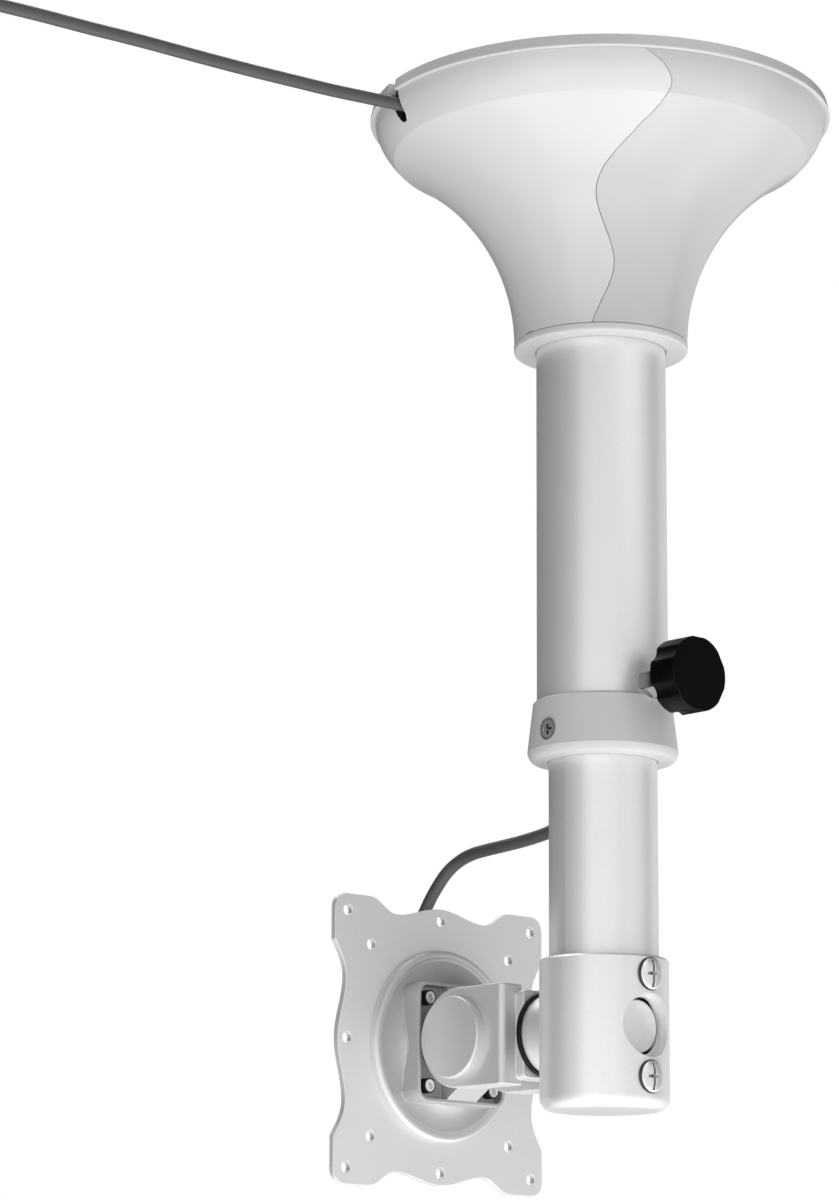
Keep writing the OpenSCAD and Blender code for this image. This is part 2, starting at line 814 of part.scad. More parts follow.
module clamp_knob() {
    reach = knob_r + scallop_r - scallop_depth;
    color(black) along_y(knob_seat, knob_z) difference() {
        union() {
            intersection() {
                linear_extrude(height = knob_h) difference() {
                    circle(r = knob_r);
                    for (i = [0 : knob_lobes - 1]) rotate((i + 0.5) * 360 / knob_lobes)
                        translate([reach, 0]) circle(r = scallop_r);
                }
                rotate_extrude() polygon(concat(
                    [[0, 0], [knob_r - knob_edge, 0], [knob_r, knob_edge]],
                    quarter_round(knob_r, knob_h, knob_edge, knob_edge, edge_round_steps),
                    [[0, knob_h]]
                ));
            }
            translate([0, 0, -knob_neck_h]) cylinder(r = knob_neck_r, h = knob_neck_h + cut);
        }
        translate([0, 0, -knob_neck_h - cut]) cylinder(r = stud_r, h = knob_neck_h + stud_deep + cut);
    }
}

// Lower tube and what it carries

module top_glide() {
    rib_r = lower_r - groove_depth + glide_gap;
    outer = upper_bore - glide_gap;
    inner = lower_r + loose_gap;
    rib_low = groove_z + loose_gap;
    rib_top = groove_z + groove_h - loose_gap;
    color(nylon) rotate_extrude() polygon([
        [inner, glide_z], [outer, glide_z], [outer, glide_z + top_glide_h], [inner, glide_z + top_glide_h],
        [inner, rib_top], [rib_r, rib_top], [rib_r, rib_low], [inner, rib_low]
    ]);
}

module lower_tube() {
    color(paint) difference() {
        translate([0, 0, lower_end_z]) tube(lower_r, lower_bore, lower_top_z - lower_end_z);
        translate([0, 0, groove_z]) tube(lower_r + cut, lower_r - groove_depth, groove_h);
        translate([0, 0, exit_z]) rotate([90, 0, 0]) cylinder(r = exit_r, h = lower_r + cut);
        translate([0, -lower_r - cut, roll_z]) rotate([-90, 0, 0])
            cylinder(r = roll_head_r + fit_gap, h = 2 * (lower_r + cut));
        for (z = [-cap_screw_offset, cap_screw_offset]) along_y(0, roll_z + z)
            cylinder(r = cap_screw_r + fit_gap, h = lower_r + cut);
    }
}

module lead_grommet() {
    mouth = lower_r + grommet_lip_t;
    color(black) translate([0, 0, exit_z]) rotate([90, 0, 0]) difference() {
        union() {
            translate([0, 0, lower_bore - grommet_lip_t])
                cylinder(r = exit_r - fit_gap, h = mouth - lower_bore);
            intersection() {
                translate([0, 0, lower_bore]) cylinder(r = exit_r + grommet_lip, h = mouth - lower_bore);
                rotate([90, 0, 0]) difference() {
                    cylinder(r = mouth, h = 4 * exit_r, center = true);
                    cylinder(r = lower_r + fit_gap, h = 4 * exit_r + 2 * cut, center = true);
                }
            }
        }
        cylinder(r = exit_r - grommet_wall, h = mouth + cut);
    }
}

module end_cap() {
    color(paint) difference() {
        union() {
            rotate_extrude() polygon(concat(
                [[0, cap_z], [cap_r - cap_edge, cap_z], [cap_r, cap_z - cap_edge]],
                quarter_round(cap_r, cap_end_z, cap_round, -cap_round, cap_round_steps),
                [[0, cap_end_z]]
            ));
            screenward(0) cylinder(r = neck_r, h = neck_end);
        }
        translate([0, 0, lower_end_z - fit_gap]) cylinder(r = cap_bore, h = cap_h);
        along_y(0, roll_z) cylinder(r = window_r, h = cap_r + cut);
        screenward(0) cylinder(r = roll_bolt_r + fit_gap, h = neck_end + cut);
        for (z = [-cap_screw_offset, cap_screw_offset]) along_y(0, roll_z + z) {
            cylinder(r = cap_screw_r + fit_gap, h = cap_r + cut);
            translate([0, 0, cap_r - spot_deep])
                cylinder(r = cap_head_r + spot_gap, h = spot_deep + cut);
        }
    }
}

module cap_screws() {
    seat = cap_r - spot_deep;
    color(chrome) for (z = [-cap_screw_offset, cap_screw_offset]) along_y(0, roll_z + z) difference() {
        union() {
            translate([0, 0, cap_screw_end]) cylinder(r = cap_screw_r, h = seat - cap_screw_end + cut);
            translate([0, 0, seat]) rotate_extrude() polygon(concat(
                [[0, 0], [cap_head_r, 0]],
                quarter_round(cap_head_r, cap_head_h, cap_head_r, cap_head_dome, round_steps)
            ));
        }
        cross_recess(seat + cap_head_h, cross_l, cross_w, cross_deep);
        translate([-cross_w / 2, -slot_l / 2, seat + cap_head_h - slot_deep])
            cube([cross_w, slot_l, slot_deep + cut]);
    }
}

module roll_spacer() {
    color(steel) screenward(spacer_start)
        tube(roll_head_r, roll_bolt_r + fit_gap, spacer_end - spacer_start);
}

module roll_bolt() {
    shank = web_at + web_seat_t + roll_washer_t + roll_nut_h + roll_tail - spacer_start;
    color(paint) screenward(roll_head_at) {
        rotate_extrude() polygon(concat(
            [[0, roll_head_t], [roll_head_r, roll_head_t]],
            quarter_round(roll_head_r, 0, roll_head_edge, -roll_head_edge, edge_round_steps),
            [[0, 0]]
        ));
        cylinder(r = roll_bolt_r, h = roll_head_t + shank);
    }
}

module friction_washer() {
    color(black) screenward(neck_end) tube(washer_r, roll_bolt_r + fit_gap, washer_t);
}

module roll_washer() {
    color(steel) screenward(web_at + web_seat_t) tube(roll_washer_r, roll_bolt_r + fit_gap, roll_washer_t);
}

module roll_nut() {
    color(steel) screenward(web_at + web_seat_t + roll_washer_t)
        chamfered_nut(roll_nut_w, roll_nut_h, roll_bolt_r + fit_gap);
}

// Tilt fork

module cheek_outline() {
    back = tilt_at - cheek_at;
    circle(r = cheek_r);
    translate([0, -cheek_r]) square([back, 2 * cheek_r]);
}

module across_x(start) {
    translate([start, -tilt_at, roll_z]) rotate([90, 0, 90]) children();
}

module tilt_fork() {
    half = fork_w / 2;
    color(paint) difference() {
        union() {
            screenward(web_at) linear_extrude(height = web_t) rounded_outline(web_w, web_h, web_corner_r);
            for (side = [0, 1]) mirror([side, 0, 0]) difference() {
                across_x(cheek_gap / 2) linear_extrude(height = cheek_t) cheek_outline();
                cheek_edge();
            }
        }
        screenward(web_at - cut) cylinder(r = roll_bolt_r + glide_gap, h = web_seat_t + 2 * cut);
        screenward(web_at + web_seat_t) cylinder(r = nut_pocket_r, h = web_t);
        across_x(-half - cut) cylinder(r = tilt_bolt_r + fit_gap, h = fork_w + 2 * cut);
        for (side = [0, 1]) mirror([side, 0, 0]) across_x(tilt_seat)
            cylinder(r = tilt_pocket_r, h = tilt_pocket + cut);
    }
}

// Rounds a cheek's long outer edge at its back
module cheek_edge() {
    r = cheek_corner_r;
    translate([fork_w / 2 - r, -cheek_at - r, roll_z - cheek_r - cut]) difference() {
        cube([r + cut, r + cut, 2 * (cheek_r + cut)]);
        translate([0, 0, -cut]) cylinder(r = r, h = 2 * (cheek_r + cut) + 2 * cut);
    }
}

module pivot_covers() {
    half = fork_w / 2;
    color(paint) for (side = [0, 1]) mirror([side, 0, 0]) across_x(half) difference() {
        union() {
            rotate_extrude() polygon(concat(
                [[0, 0], [pivot_cover_r, 0]],
                quarter_round(pivot_cover_r, pivot_cover_t, pivot_edge, pivot_edge, edge_round_steps),
                [[0, pivot_cover_t]]
            ));
            translate([0, 0, -pivot_spigot_h])
                cylinder(r = tilt_pocket_r - fit_gap, h = pivot_spigot_h + cut);
        }
        translate([0, 0, -pivot_spigot_h - cut])
            cylinder(r = tilt_head_r + fit_gap, h = pivot_spigot_h + cut + pivot_cover_t / 2);
    }
}

module tilt_bolt() {
    color(steel) across_x(tilt_seat) difference() {
        union() {
            cylinder(r = tilt_head_r, h = tilt_head_t);
            translate([0, 0, -2 * tilt_seat - tilt_nut_h])
                cylinder(r = tilt_bolt_r, h = 2 * tilt_seat + tilt_nut_h + cut);
        }
        translate([0, 0, tilt_head_t - hex_key_deep]) hexagon(hex_key_w, hex_key_deep + cut);
    }
}

module tilt_nut() {
    color(steel) mirror([1, 0, 0]) across_x(tilt_seat)
        chamfered_nut(tilt_nut_w, tilt_nut_h, tilt_bolt_r + fit_gap);
}

module tilt_washers() {
    color(nylon) for (side = [0, 1]) mirror([side, 0, 0]) across_x(cheek_gap / 2 - tilt_washer_t)
        tube(tilt_washer_r, tilt_bolt_r + fit_gap, tilt_washer_t);
}

// Screen side

// Foot that flares from the tilt base's walls down to the boss disc
module flared_foot() {
    outer = boss_r - boss_lip;
    curve = [for (k = [0 : foot_steps]) let (a = 90 * k / foot_steps)
        [outer - (outer - base_w / 2) * cos(a), foot_h * sin(a)]];
    screenward(boss_at - foot_h) rotate_extrude() polygon(concat([[0, 0]], curve, [[0, foot_h]]));
}

module tilt_base() {
    rim_foot = tilt_at - base_at;
    foot = tilt_at - floor_at;
    color(paint) difference() {
        union() {
            difference() {
                screenward(base_at) rounded_block(base_w, base_corner_r, base_h);
                screenward(base_at - cut)
                    rounded_block(base_w - 2 * base_rim, base_corner_r - base_rim, base_recess + cut);
            }
            flared_foot();
            across_x(-lug_w / 2) linear_extrude(height = lug_w) {
                circle(r = lug_r);
                polygon([
                    [0, lug_r], [rim_foot, lug_foot], [foot, lug_foot],
                    [foot, -lug_foot], [rim_foot, -lug_foot], [0, -lug_r]
                ]);
            }
        }
        across_x(-lug_w / 2 - cut) cylinder(r = tilt_bolt_r + glide_gap, h = lug_w + 2 * cut);
        screenward(floor_at - cut) at_corners(base_screw_pattern)
            cylinder(r = base_screw_r + fit_gap, h = base_h + 2 * cut);
    }
}

module base_screws() {
    length = screen_at + screen_plate_t - floor_at;
    color(steel) screenward(floor_at) at_corners(base_screw_pattern) difference() {
        union() {
            translate([0, 0, -base_head_h]) cylinder(r = base_head_r, h = base_head_h);
            cylinder(r = base_screw_r, h = length);
        }
        translate([0, 0, -base_head_h - cut]) hexagon(base_key_w, base_key_deep + cut);
    }
}

module boss_disc() {
    lip = [for (k = [0 : lip_steps]) let (a = 180 * k / lip_steps)
        [boss_r - boss_lip / 2 * (1 - cos(a)), -boss_lip_rise * sin(a)]];
    color(paint) screenward(boss_at) difference() {
        rotate_extrude() polygon(concat([[0, boss_t], [boss_r, boss_t]], lip, [[0, 0]]));
        translate([0, 0, -cut]) at_corners(base_screw_pattern)
            cylinder(r = base_screw_r + fit_gap, h = boss_t + 2 * cut);
    }
}

// Half width of the plate at a distance along an edge, where bend is the angle at which the curve
// out of the hollow ends at the corner
function edge_at(along, bend) = along < hollow_at
    ? (edge_half + hollow_half) / 2 + (edge_half - hollow_half) / 2 * cos(180 * along / hollow_at)
    : hollow_half + (plate_half - hollow_half)
        * (1 - cos(bend * (along - hollow_at) / (corner_at - hollow_at))) / (1 - cos(bend));

// One edge from its middle to the straight corner, as distance along it and half width
function half_edge(bend) = concat(
    [for (k = [0 : edge_steps - 1]) let (a = hollow_at * k / edge_steps) [a, edge_at(a, bend)]],
    [for (k = [0 : edge_steps])
        let (a = hollow_at + (corner_at - hollow_at) * k / edge_steps) [a, edge_at(a, bend)]]
);

function corner_arc() = [for (k = [0 : corner_steps]) let (a = 90 - 90 * k / corner_steps)
    [plate_half - corner_r * (1 - cos(a)), plate_half - corner_r * (1 - sin(a))]];

// A quarter of the outline, from the middle of the top edge to the middle of a side
function quarter() = concat(
    half_edge(smooth_bend), corner_arc(), backwards([for (p = half_edge(sharp_bend)) [p[1], p[0]]])
);

module screen_plate() {
    edge = quarter();
    last = len(edge) - 1;
    color(paint) screenward(screen_at) difference() {
        linear_extrude(height = screen_plate_t) polygon(concat(
            edge,
            [for (i = [last - 1 : -1 : 0]) [edge[i][0], -edge[i][1]]],
            [for (i = [1 : last]) [-edge[i][0], -edge[i][1]]],
            [for (i = [last - 1 : -1 : 1]) [-edge[i][0], edge[i][1]]]
        ));
        translate([0, 0, -cut]) {
            for (pattern = [large_pattern, small_pattern]) at_corners(pattern)
                cylinder(r = screen_hole_r, h = screen_plate_t + 2 * cut);
            for (turn = [0 : 90 : 270]) rotate([0, 0, turn]) translate([large_pattern / 2, 0, 0])
                cylinder(r = screen_hole_r, h = screen_plate_t + 2 * cut);
            at_corners(base_screw_pattern)
                cylinder(r = base_screw_r + fit_gap, h = screen_plate_t + 2 * cut);
        }
    }
}

// Leads

module ceiling_lead() {
    color(lead_grey) swept_lead(ceiling_route, [sin(-lead_way_angle), cos(lead_way_angle), 0]);
}

module ceiling_outlet() {
    end = ceiling_route[0];
    way = ceiling_route[0] - ceiling_route[1];
    bearing = atan2(way[1], way[0]);
    color(white) translate([end[0], end[1], 0]) rotate([0, 0, bearing])
        translate([outlet_r - outlet_wall, 0, 0]) difference() {
            rotate_extrude() polygon(concat(
                [[0, 0], [outlet_r, 0]],
                quarter_round(outlet_r, -outlet_h, outlet_edge, -outlet_edge, edge_round_steps),
                [[0, -outlet_h]]
            ));
            translate([-outlet_r - cut, 0, end[2]]) rotate([0, 90, 0])
                cylinder(r = lead_r + loose_gap, h = outlet_wall + 2 * cut);
        }
}

module screen_lead() {
    color(lead_grey) swept_lead(screen_route, [1, 0, 0]);
}

module below_lead() {
    translate(screen_route[len(screen_route) - 1]) children();
}

module plug_boot() {
    color(black) below_lead() rotate_extrude() polygon([
        [lead_r + fit_gap, boot_h], [lead_r + loose_gap * 2, boot_h],
        [boot_r, -fit_gap], [lead_r + fit_gap, -fit_gap]
    ]);
}

module screen_plug() {
    color(black) below_lead() translate([0, 0, -plug_h - fit_gap]) {
        linear_extrude(height = plug_h) rounded_outline(plug_w, plug_t, plug_corner_r);
        translate([0, 0, -plug_shell_h]) linear_extrude(height = plug_shell_h + cut)
            rounded_outline(plug_shell_w, plug_shell_t, plug_corner_r / 2);
    }
}

ceiling_plate();
tube_socket();
flange_screws();
flange_nuts();
socket_set_screws();
cover_front_half();
cover_rear_half();
cover_ring();
upper_tube();
glide_sleeve();
collar();
collar_screws();
clamp_nut();
pressure_pad();
clamp_stud();
clamp_knob();
top_glide();
lower_tube();
lead_grommet();
end_cap();
cap_screws();
roll_spacer();
roll_bolt();
friction_washer();
roll_washer();
roll_nut();
tilt_fork();
pivot_covers();
tilt_bolt();
tilt_nut();
tilt_washers();
tilt_base();
base_screws();
boss_disc();
screen_plate();
ceiling_lead();
ceiling_outlet();
screen_lead();
screen_plug();
plug_boot();
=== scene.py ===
import bpy
import bmesh
import json
import math
from mathutils import Euler, Matrix, Vector


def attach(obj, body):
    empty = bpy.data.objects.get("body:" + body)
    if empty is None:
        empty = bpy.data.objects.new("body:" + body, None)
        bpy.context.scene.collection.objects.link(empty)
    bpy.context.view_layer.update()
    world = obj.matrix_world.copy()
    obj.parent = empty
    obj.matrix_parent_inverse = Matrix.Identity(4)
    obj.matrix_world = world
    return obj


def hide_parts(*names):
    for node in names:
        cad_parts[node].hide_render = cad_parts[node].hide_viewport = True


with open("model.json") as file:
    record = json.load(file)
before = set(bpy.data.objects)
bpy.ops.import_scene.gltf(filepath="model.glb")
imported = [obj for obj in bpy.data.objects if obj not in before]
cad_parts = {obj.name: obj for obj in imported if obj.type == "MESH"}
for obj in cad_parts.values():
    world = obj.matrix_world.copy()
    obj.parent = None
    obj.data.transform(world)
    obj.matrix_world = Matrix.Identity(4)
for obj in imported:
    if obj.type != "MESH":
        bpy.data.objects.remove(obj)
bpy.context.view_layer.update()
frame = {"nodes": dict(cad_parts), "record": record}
mm = 0.001

# Places that several pieces share, in millimetres and degrees
clampUp = -236
rollUp = -367
slotBearing = -18.5


# Camera

cameraPlace = {
    "at": (1056.13, 1034.24, -523.44),
    "heading": 137.16,   # degrees about Z, 0 looks along +Y
    "up": 12.36,
    "roll": 0.29,
    "lens": 116.3,
    "sensor": 36,
    "near": 20,
    "far": 60000,
}


def addCamera(place):
    data = bpy.data.cameras.new("photoCamera")
    data.lens = place["lens"]
    data.sensor_width = place["sensor"]
    data.sensor_fit = "AUTO"
    data.clip_start = place["near"] * mm
    data.clip_end = place["far"] * mm
    camera = bpy.data.objects.new("photoCamera", data)
    turn = Matrix.Rotation(math.radians(place["heading"]), 4, "Z")
    tip = Matrix.Rotation(math.radians(90 + place["up"]), 4, "X")
    roll = Matrix.Rotation(math.radians(place["roll"]), 4, "Z")
    camera.matrix_world = Matrix.Translation(Vector(place["at"]) * mm) @ turn @ tip @ roll
    bpy.context.collection.objects.link(camera)
    bpy.context.scene.camera = camera


addCamera(cameraPlace)
print("camera placed")


# Shader maths: a link between nodes that is added, multiplied and so on like a number

def join(tree, slot, value):
    if isinstance(value, Link):
        tree.links.new(value.socket, slot)
    elif slot.type == "RGBA" and len(value) == 3:
        slot.default_value = (*value, 1)
    else:
        slot.default_value = value


def addNode(tree, kind, settings, values, out=0):
    # values holds numbers, colours or links, by the name or number of the socket that takes them
    made = tree.nodes.new(kind)
    for key, value in settings.items():
        setattr(made, key, value)
    for key, value in values.items():
        join(tree, made.inputs[key], value)
    return Link(tree, made.outputs[out])


class Link:
    def __init__(self, tree, socket):
        self.tree = tree
        self.socket = socket

    def math(self, operation, *others, clamp=False):
        settings = {"operation": operation, "use_clamp": clamp}
        return addNode(self.tree, "ShaderNodeMath", settings, dict(enumerate((self, *others))))

    def flipped(self, operation, other):
        return addNode(self.tree, "ShaderNodeMath", {"operation": operation}, {0: other, 1: self})

    def __add__(self, other): return self.math("ADD", other)
    def __radd__(self, other): return self.math("ADD", other)
    def __sub__(self, other): return self.math("SUBTRACT", other)
    def __rsub__(self, other): return self.flipped("SUBTRACT", other)
    def __mul__(self, other): return self.math("MULTIPLY", other)
    def __rmul__(self, other): return self.math("MULTIPLY", other)
    def __truediv__(self, other): return self.math("DIVIDE", other)
    def __rtruediv__(self, other): return self.flipped("DIVIDE", other)
    def __pow__(self, other): return self.math("POWER", other)
    def __abs__(self): return self.math("ABSOLUTE")

    def within(self):
        return self.math("ADD", 0, clamp=True)   # kept between 0 and 1

    def upTo(self, most):
        return (self / most).within() * most   # kept between 0 and most

    # 1 on one side of a level and 0 on the other, over a soft step that is 1 / crisp wide
    def above(self, level, crisp):
        return ((self - level) * crisp).within()

    def under(self, level, crisp):
        return ((level - self) * crisp).within()


class Finish:
    def __init__(self, name, roughness=0.5, metallic=0.0, coat=0.0, coatRoughness=0.1, specular=0.5):
        self.material = bpy.data.materials.new(name)
        self.material.use_nodes = True
        self.tree = self.material.node_tree
        self.shader = self.tree.nodes["Principled BSDF"]
        self.set("Roughness", roughness)
        self.set("Metallic", metallic)
        self.set("Coat Weight", coat)
        self.set("Coat Roughness", coatRoughness)
        self.set("Specular IOR Level", specular)
        self.place = self.node("ShaderNodeTexCoord", {}, {}, "Object")

    def node(self, kind, settings, values, out=0):
        return addNode(self.tree, kind, settings, values, out)

    def set(self, socket, value):
        join(self.tree, self.shader.inputs[socket], value)

    def axis(self, place=None):
        first = self.node("ShaderNodeSeparateXYZ", {}, {0: place or self.place})
        return [Link(self.tree, output) for output in first.socket.node.outputs]

    def noise(self, scale, detail=2.0, rough=0.5):
        return self.node("ShaderNodeTexNoise", {"normalize": True}, {
            "Vector": self.place, "Scale": scale, "Detail": detail, "Roughness": rough,
        })

    def cells(self, scale):
        # a random tone for each cell
        colours = self.node("ShaderNodeTexVoronoi", {}, {"Vector": self.place, "Scale": scale}, "Color")
        return self.axis(colours)[0]

    def blend(self, share, first, second):
        # 6 and 7 are the Mix node's two colours, and output 2 the mixed one
        return self.node("ShaderNodeMix", {"data_type": "RGBA"}, {0: share, 6: first, 7: second}, 2)

    def toned(self, share, colour, swing):
        return self.blend(share, shade(colour, 1 - swing), shade(colour, 1 + swing))

    def bump(self, height, strength, deep):
        values = {"Strength": strength, "Distance": deep * mm, "Height": height}
        self.set("Normal", self.node("ShaderNodeBump", {}, values))


def shade(colour, factor):
    return tuple(min(1, c * factor) for c in colour)


def grey(tone):
    return (tone,) * 3


# Silver-grey powder paint: tiny flakes, a fine orange peel, and a slow drift of the tone

paintLooks = {
    "postPaint": {
        "colour": (0.86, 0.862, 0.865), "roughness": 0.42, "metallic": 0.6, "flake": 0.05, "peel": 0.05,
    },
    "castPaint": {
        "colour": (0.84, 0.842, 0.845), "roughness": 0.42, "metallic": 0.5, "flake": 0.06, "peel": 0.09,
    },
    # painted shade: the arm's and the base's paint is the cast silver paint made darker, for the shade that
    # falls on them round the head
    "armPaint": {
        "colour": (0.68, 0.682, 0.685), "roughness": 0.44, "metallic": 0.5, "flake": 0.06, "peel": 0.09,
    },
    "basePaint": {
        "colour": (0.5, 0.502, 0.505), "roughness": 0.44, "metallic": 0.5, "flake": 0.06, "peel": 0.09,
    },
}
paintGrain = {
    # flakes, drift, peel: how fine each pattern is; flakeShare, peelShare: how much of the mix it makes up
    "coat": 0.12, "coatRoughness": 0.3, "flakes": 5200, "drift": 14, "peel": 900,
    "flakeShare": 0.7, "peelShare": 0.8, "varied": 0.08, "deep": 0.4,
}


def paintFinish(name, look, grain=paintGrain):
    f = Finish(name, metallic=look["metallic"], coat=grain["coat"], coatRoughness=grain["coatRoughness"])
    flakes = f.cells(grain["flakes"])
    drift = f.noise(grain["drift"], detail=3)
    share = (flakes * grain["flakeShare"] + drift * (1 - grain["flakeShare"])).within()
    f.set("Base Color", f.toned(share, look["colour"], look["flake"]))
    peel = f.noise(grain["peel"], detail=3, rough=0.6)
    f.set("Roughness", look["roughness"] - grain["varied"] / 2 + peel * grain["varied"])
    f.bump(peel * grain["peelShare"] + flakes * (1 - grain["peelShare"]), look["peel"], grain["deep"])
    return f.material


# Moulded plastics: a spark-eroded grain, and faint flow clouds

plasticLooks = {
    "coverPlastic": {
        "colour": (0.63, 0.63, 0.626), "roughness": 0.3, "coat": 0.15, "grain": 0.02, "scale": 2600,
        # the cover's plastic carries a painted shadow on the walls of the lead's slot
        "slot": True,
    },
    # painted shade: the cover's rear half is the front half's plastic painted darker, for the shade that
    # falls on that half
    "coverPlasticShade": {
        "colour": (0.535, 0.535, 0.532), "roughness": 0.3, "coat": 0.15, "grain": 0.02, "scale": 2600,
    },
    "trimPlastic": {
        "colour": (0.61, 0.61, 0.608), "roughness": 0.42, "coat": 0.05, "grain": 0.05, "scale": 2200,
    },
    "knobPlastic": {
        "colour": (0.002, 0.002, 0.002), "roughness": 0.3, "coat": 0.0, "grain": 0.08, "scale": 1900,
        "specular": 0.1, "mattFrom": 51.3, "matt": 0.6,
    },
    "blackRubber": {
        "colour": (0.008, 0.008, 0.008), "roughness": 0.6, "coat": 0.0, "grain": 0.14, "scale": 1500,
        "specular": 0.2,
    },
    "nylon": {"colour": (0.78, 0.77, 0.72), "roughness": 0.45, "coat": 0.0, "grain": 0.05, "scale": 1800},
}
plasticGrain = {
    "coatRoughness": 0.12, "clouds": 30, "cloudy": 0.03,
    "cloudRough": 0.04, "grainRough": 0.06, "deep": 0.3,
}
# Painted shadow: the walls of the lead's slot are painted near black, for the shade that lies inside the
# slot
slotShade = {"half": 3.14, "low": -13, "high": -4.6, "from": 77, "reach": 20, "dark": 0.01}


def slotShadowShare(f, look):
    x, y, z = f.axis()
    turn = math.radians(slotBearing)
    across = (y * math.cos(turn) - x * math.sin(turn)) / mm
    below = (look["low"] - z / mm).upTo(look["reach"])
    inside = ((across * across + below * below) ** 0.5).under(look["half"], crisp=10)
    rim = (x / mm).above(look["from"], crisp=1) * (z / mm).under(look["high"], crisp=4)
    return inside * rim


def plasticFinish(name, look, grain=plasticGrain):
    specular = look.get("specular", 0.5)
    f = Finish(name, coat=look["coat"], coatRoughness=grain["coatRoughness"], specular=specular)
    clouds = f.noise(grain["clouds"], detail=4, rough=0.55)
    tone = f.toned(clouds, look["colour"], grain["cloudy"])
    # painted shadow: the slot's walls are painted near black
    if "slot" in look:
        tone = f.blend(slotShadowShare(f, slotShade), tone, grey(slotShade["dark"]))
    f.set("Base Color", tone)
    eroded = f.noise(look["scale"], detail=2, rough=0.7)
    smooth = look["roughness"] - (grain["grainRough"] + grain["cloudRough"]) / 2
    rough = smooth + eroded * grain["grainRough"] + clouds * grain["cloudRough"]
    if "matt" in look:
        # the knob's face is textured, and its sides are smooth
        rough = rough + (f.axis()[1] / mm).above(look["mattFrom"], crisp=8) * look["matt"]
    f.set("Roughness", rough)
    f.bump(eroded, look["grain"], grain["deep"])
    return f.material


# Metals: zinc with dull spangles, blackened screws, and a dark turned nut with a painted highlight on its
# slanted faces

metalLooks = {
    "zincSteel": {"colour": (0.55, 0.56, 0.57), "roughness": 0.34, "spangle": 0.12, "scale": 420},
    "darkScrew": {"colour": (0.16, 0.16, 0.165), "roughness": 0.38, "spangle": 0.10, "scale": 900},
    "nutSteel": {
        "colour": (0.28, 0.28, 0.28), "roughness": 0.14, "spangle": 0.04, "scale": 900,
        "facetsFrom": 3.1, "facets": 0.96,
    },
}
metalGrain = {"rub": 260, "spangleShare": 0.6, "varied": 0.12, "bump": 0.05, "deep": 0.2}


def metalFinish(name, look, grain=metalGrain):
    f = Finish(name, metallic=1.0)
    spangle = f.cells(look["scale"])
    rub = f.noise(grain["rub"], detail=4, rough=0.6)
    share = (spangle * grain["spangleShare"] + rub * (1 - grain["spangleShare"])).within()
    tone = f.toned(share, look["colour"], look["spangle"])
    if "facets" in look:
        # painted highlight: the nut's slanted faces are painted near white, as if they caught the light,
        # and its upright ones keep the dark steel tone
        highlightedSlants = abs(f.axis()[2] / mm - clampUp).above(look["facetsFrom"], crisp=4)
        tone = f.blend(highlightedSlants, tone, grey(look["facets"]))
    f.set("Base Color", tone)
    f.set("Roughness", look["roughness"] - grain["varied"] / 2 + rub * grain["varied"])
    f.bump(rub, grain["bump"], grain["deep"])
    return f.material


# Small screws: bright heads with painted shade in a ring round each head and in the driver's slots, told
# apart by the distance from each screw's axis

ringedLooks = {
    # up, across, rise: where the screws are; head: its radius; slot: half width, reach upwards and reach
    # across of the driver's slots; bright, rim, dark: tones of the head, and of the painted shade in its
    # ring and in the slots
    "baseScrewSteel": {
        "up": rollUp, "across": 17.25, "rise": 17.25, "turn": 0, "head": 2.3, "slot": (0, 0, 0),
        "bright": 0.85, "rim": 0.04, "dark": 0.04,
    },
    "collarScrewSteel": {
        "up": -254, "across": 0, "rise": 0, "turn": 86.5, "head": 3.25, "slot": (0.55, 2.2, 2.2),
        "bright": 0.96, "rim": 0.3, "dark": 0.01,
    },
    "capScrewSteel": {
        "up": rollUp, "across": 0, "rise": 19.3, "turn": 0, "head": 5.85, "slot": (0.6, 5.2, 3.1),
        "bright": 0.97, "rim": 0.1, "dark": 0.1,
    },
}
ringedSteel = {"metallic": 0.9, "roughness": 0.34, "ringRough": 0.3, "levelShare": 0.7}


def ringedFinish(name, look, steel=ringedSteel):
    f = Finish(name, metallic=steel["metallic"])
    x, y, z = f.axis()
    turn = math.radians(look["turn"])
    across = abs(abs((x * math.cos(turn) + y * math.sin(turn)) / mm) - look["across"])
    up = abs(abs(z / mm - look["up"]) - look["rise"])
    # painted shade: the ring round each head is painted dark, for the shadow in the gap round it
    ring = ((across * across + up * up) ** 0.5).above(look["head"], crisp=5)
    tone = f.blend(ring, grey(look["bright"]), grey(look["rim"]))
    half, tall, wide = look["slot"]
    # painted shade: the driver's slots are painted dark, for the shadow inside them
    if half:
        upright = across.under(half, crisp=12) * up.under(tall, crisp=12)
        level = up.under(half, crisp=12) * across.under(wide, crisp=12)
        tone = f.blend((upright + level * steel["levelShare"]).within(), tone, grey(look["dark"]))
    f.set("Base Color", tone)
    f.set("Roughness", steel["roughness"] + ring * steel["ringRough"])
    return f.material


# Sheath of the leads: matt dark grey, finely grained, scuffed a little

sheathLooks = {
    "leadSheath": {
        "colour": (0.075, 0.076, 0.078), "roughness": 0.46, "fine": 1400, "fineRough": 0.06,
        "scuffs": 110, "scuffFrom": 0.52, "scuff": 0.25, "scuffTone": 1.9, "scuffRough": 0.1,
        "bump": 0.08, "deep": 0.3,
    },
}


def sheathFinish(name, look):
    f = Finish(name)
    fine = f.noise(look["fine"], detail=3, rough=0.6)
    marks = f.noise(look["scuffs"], detail=5, rough=0.65).above(look["scuffFrom"], crisp=5)
    scuffed = shade(look["colour"], look["scuffTone"])
    f.set("Base Color", f.blend(marks * look["scuff"], look["colour"], scuffed))
    f.set("Roughness", look["roughness"] + marks * look["scuffRough"] + fine * look["fineRough"])
    f.bump(fine, look["bump"], look["deep"])
    return f.material


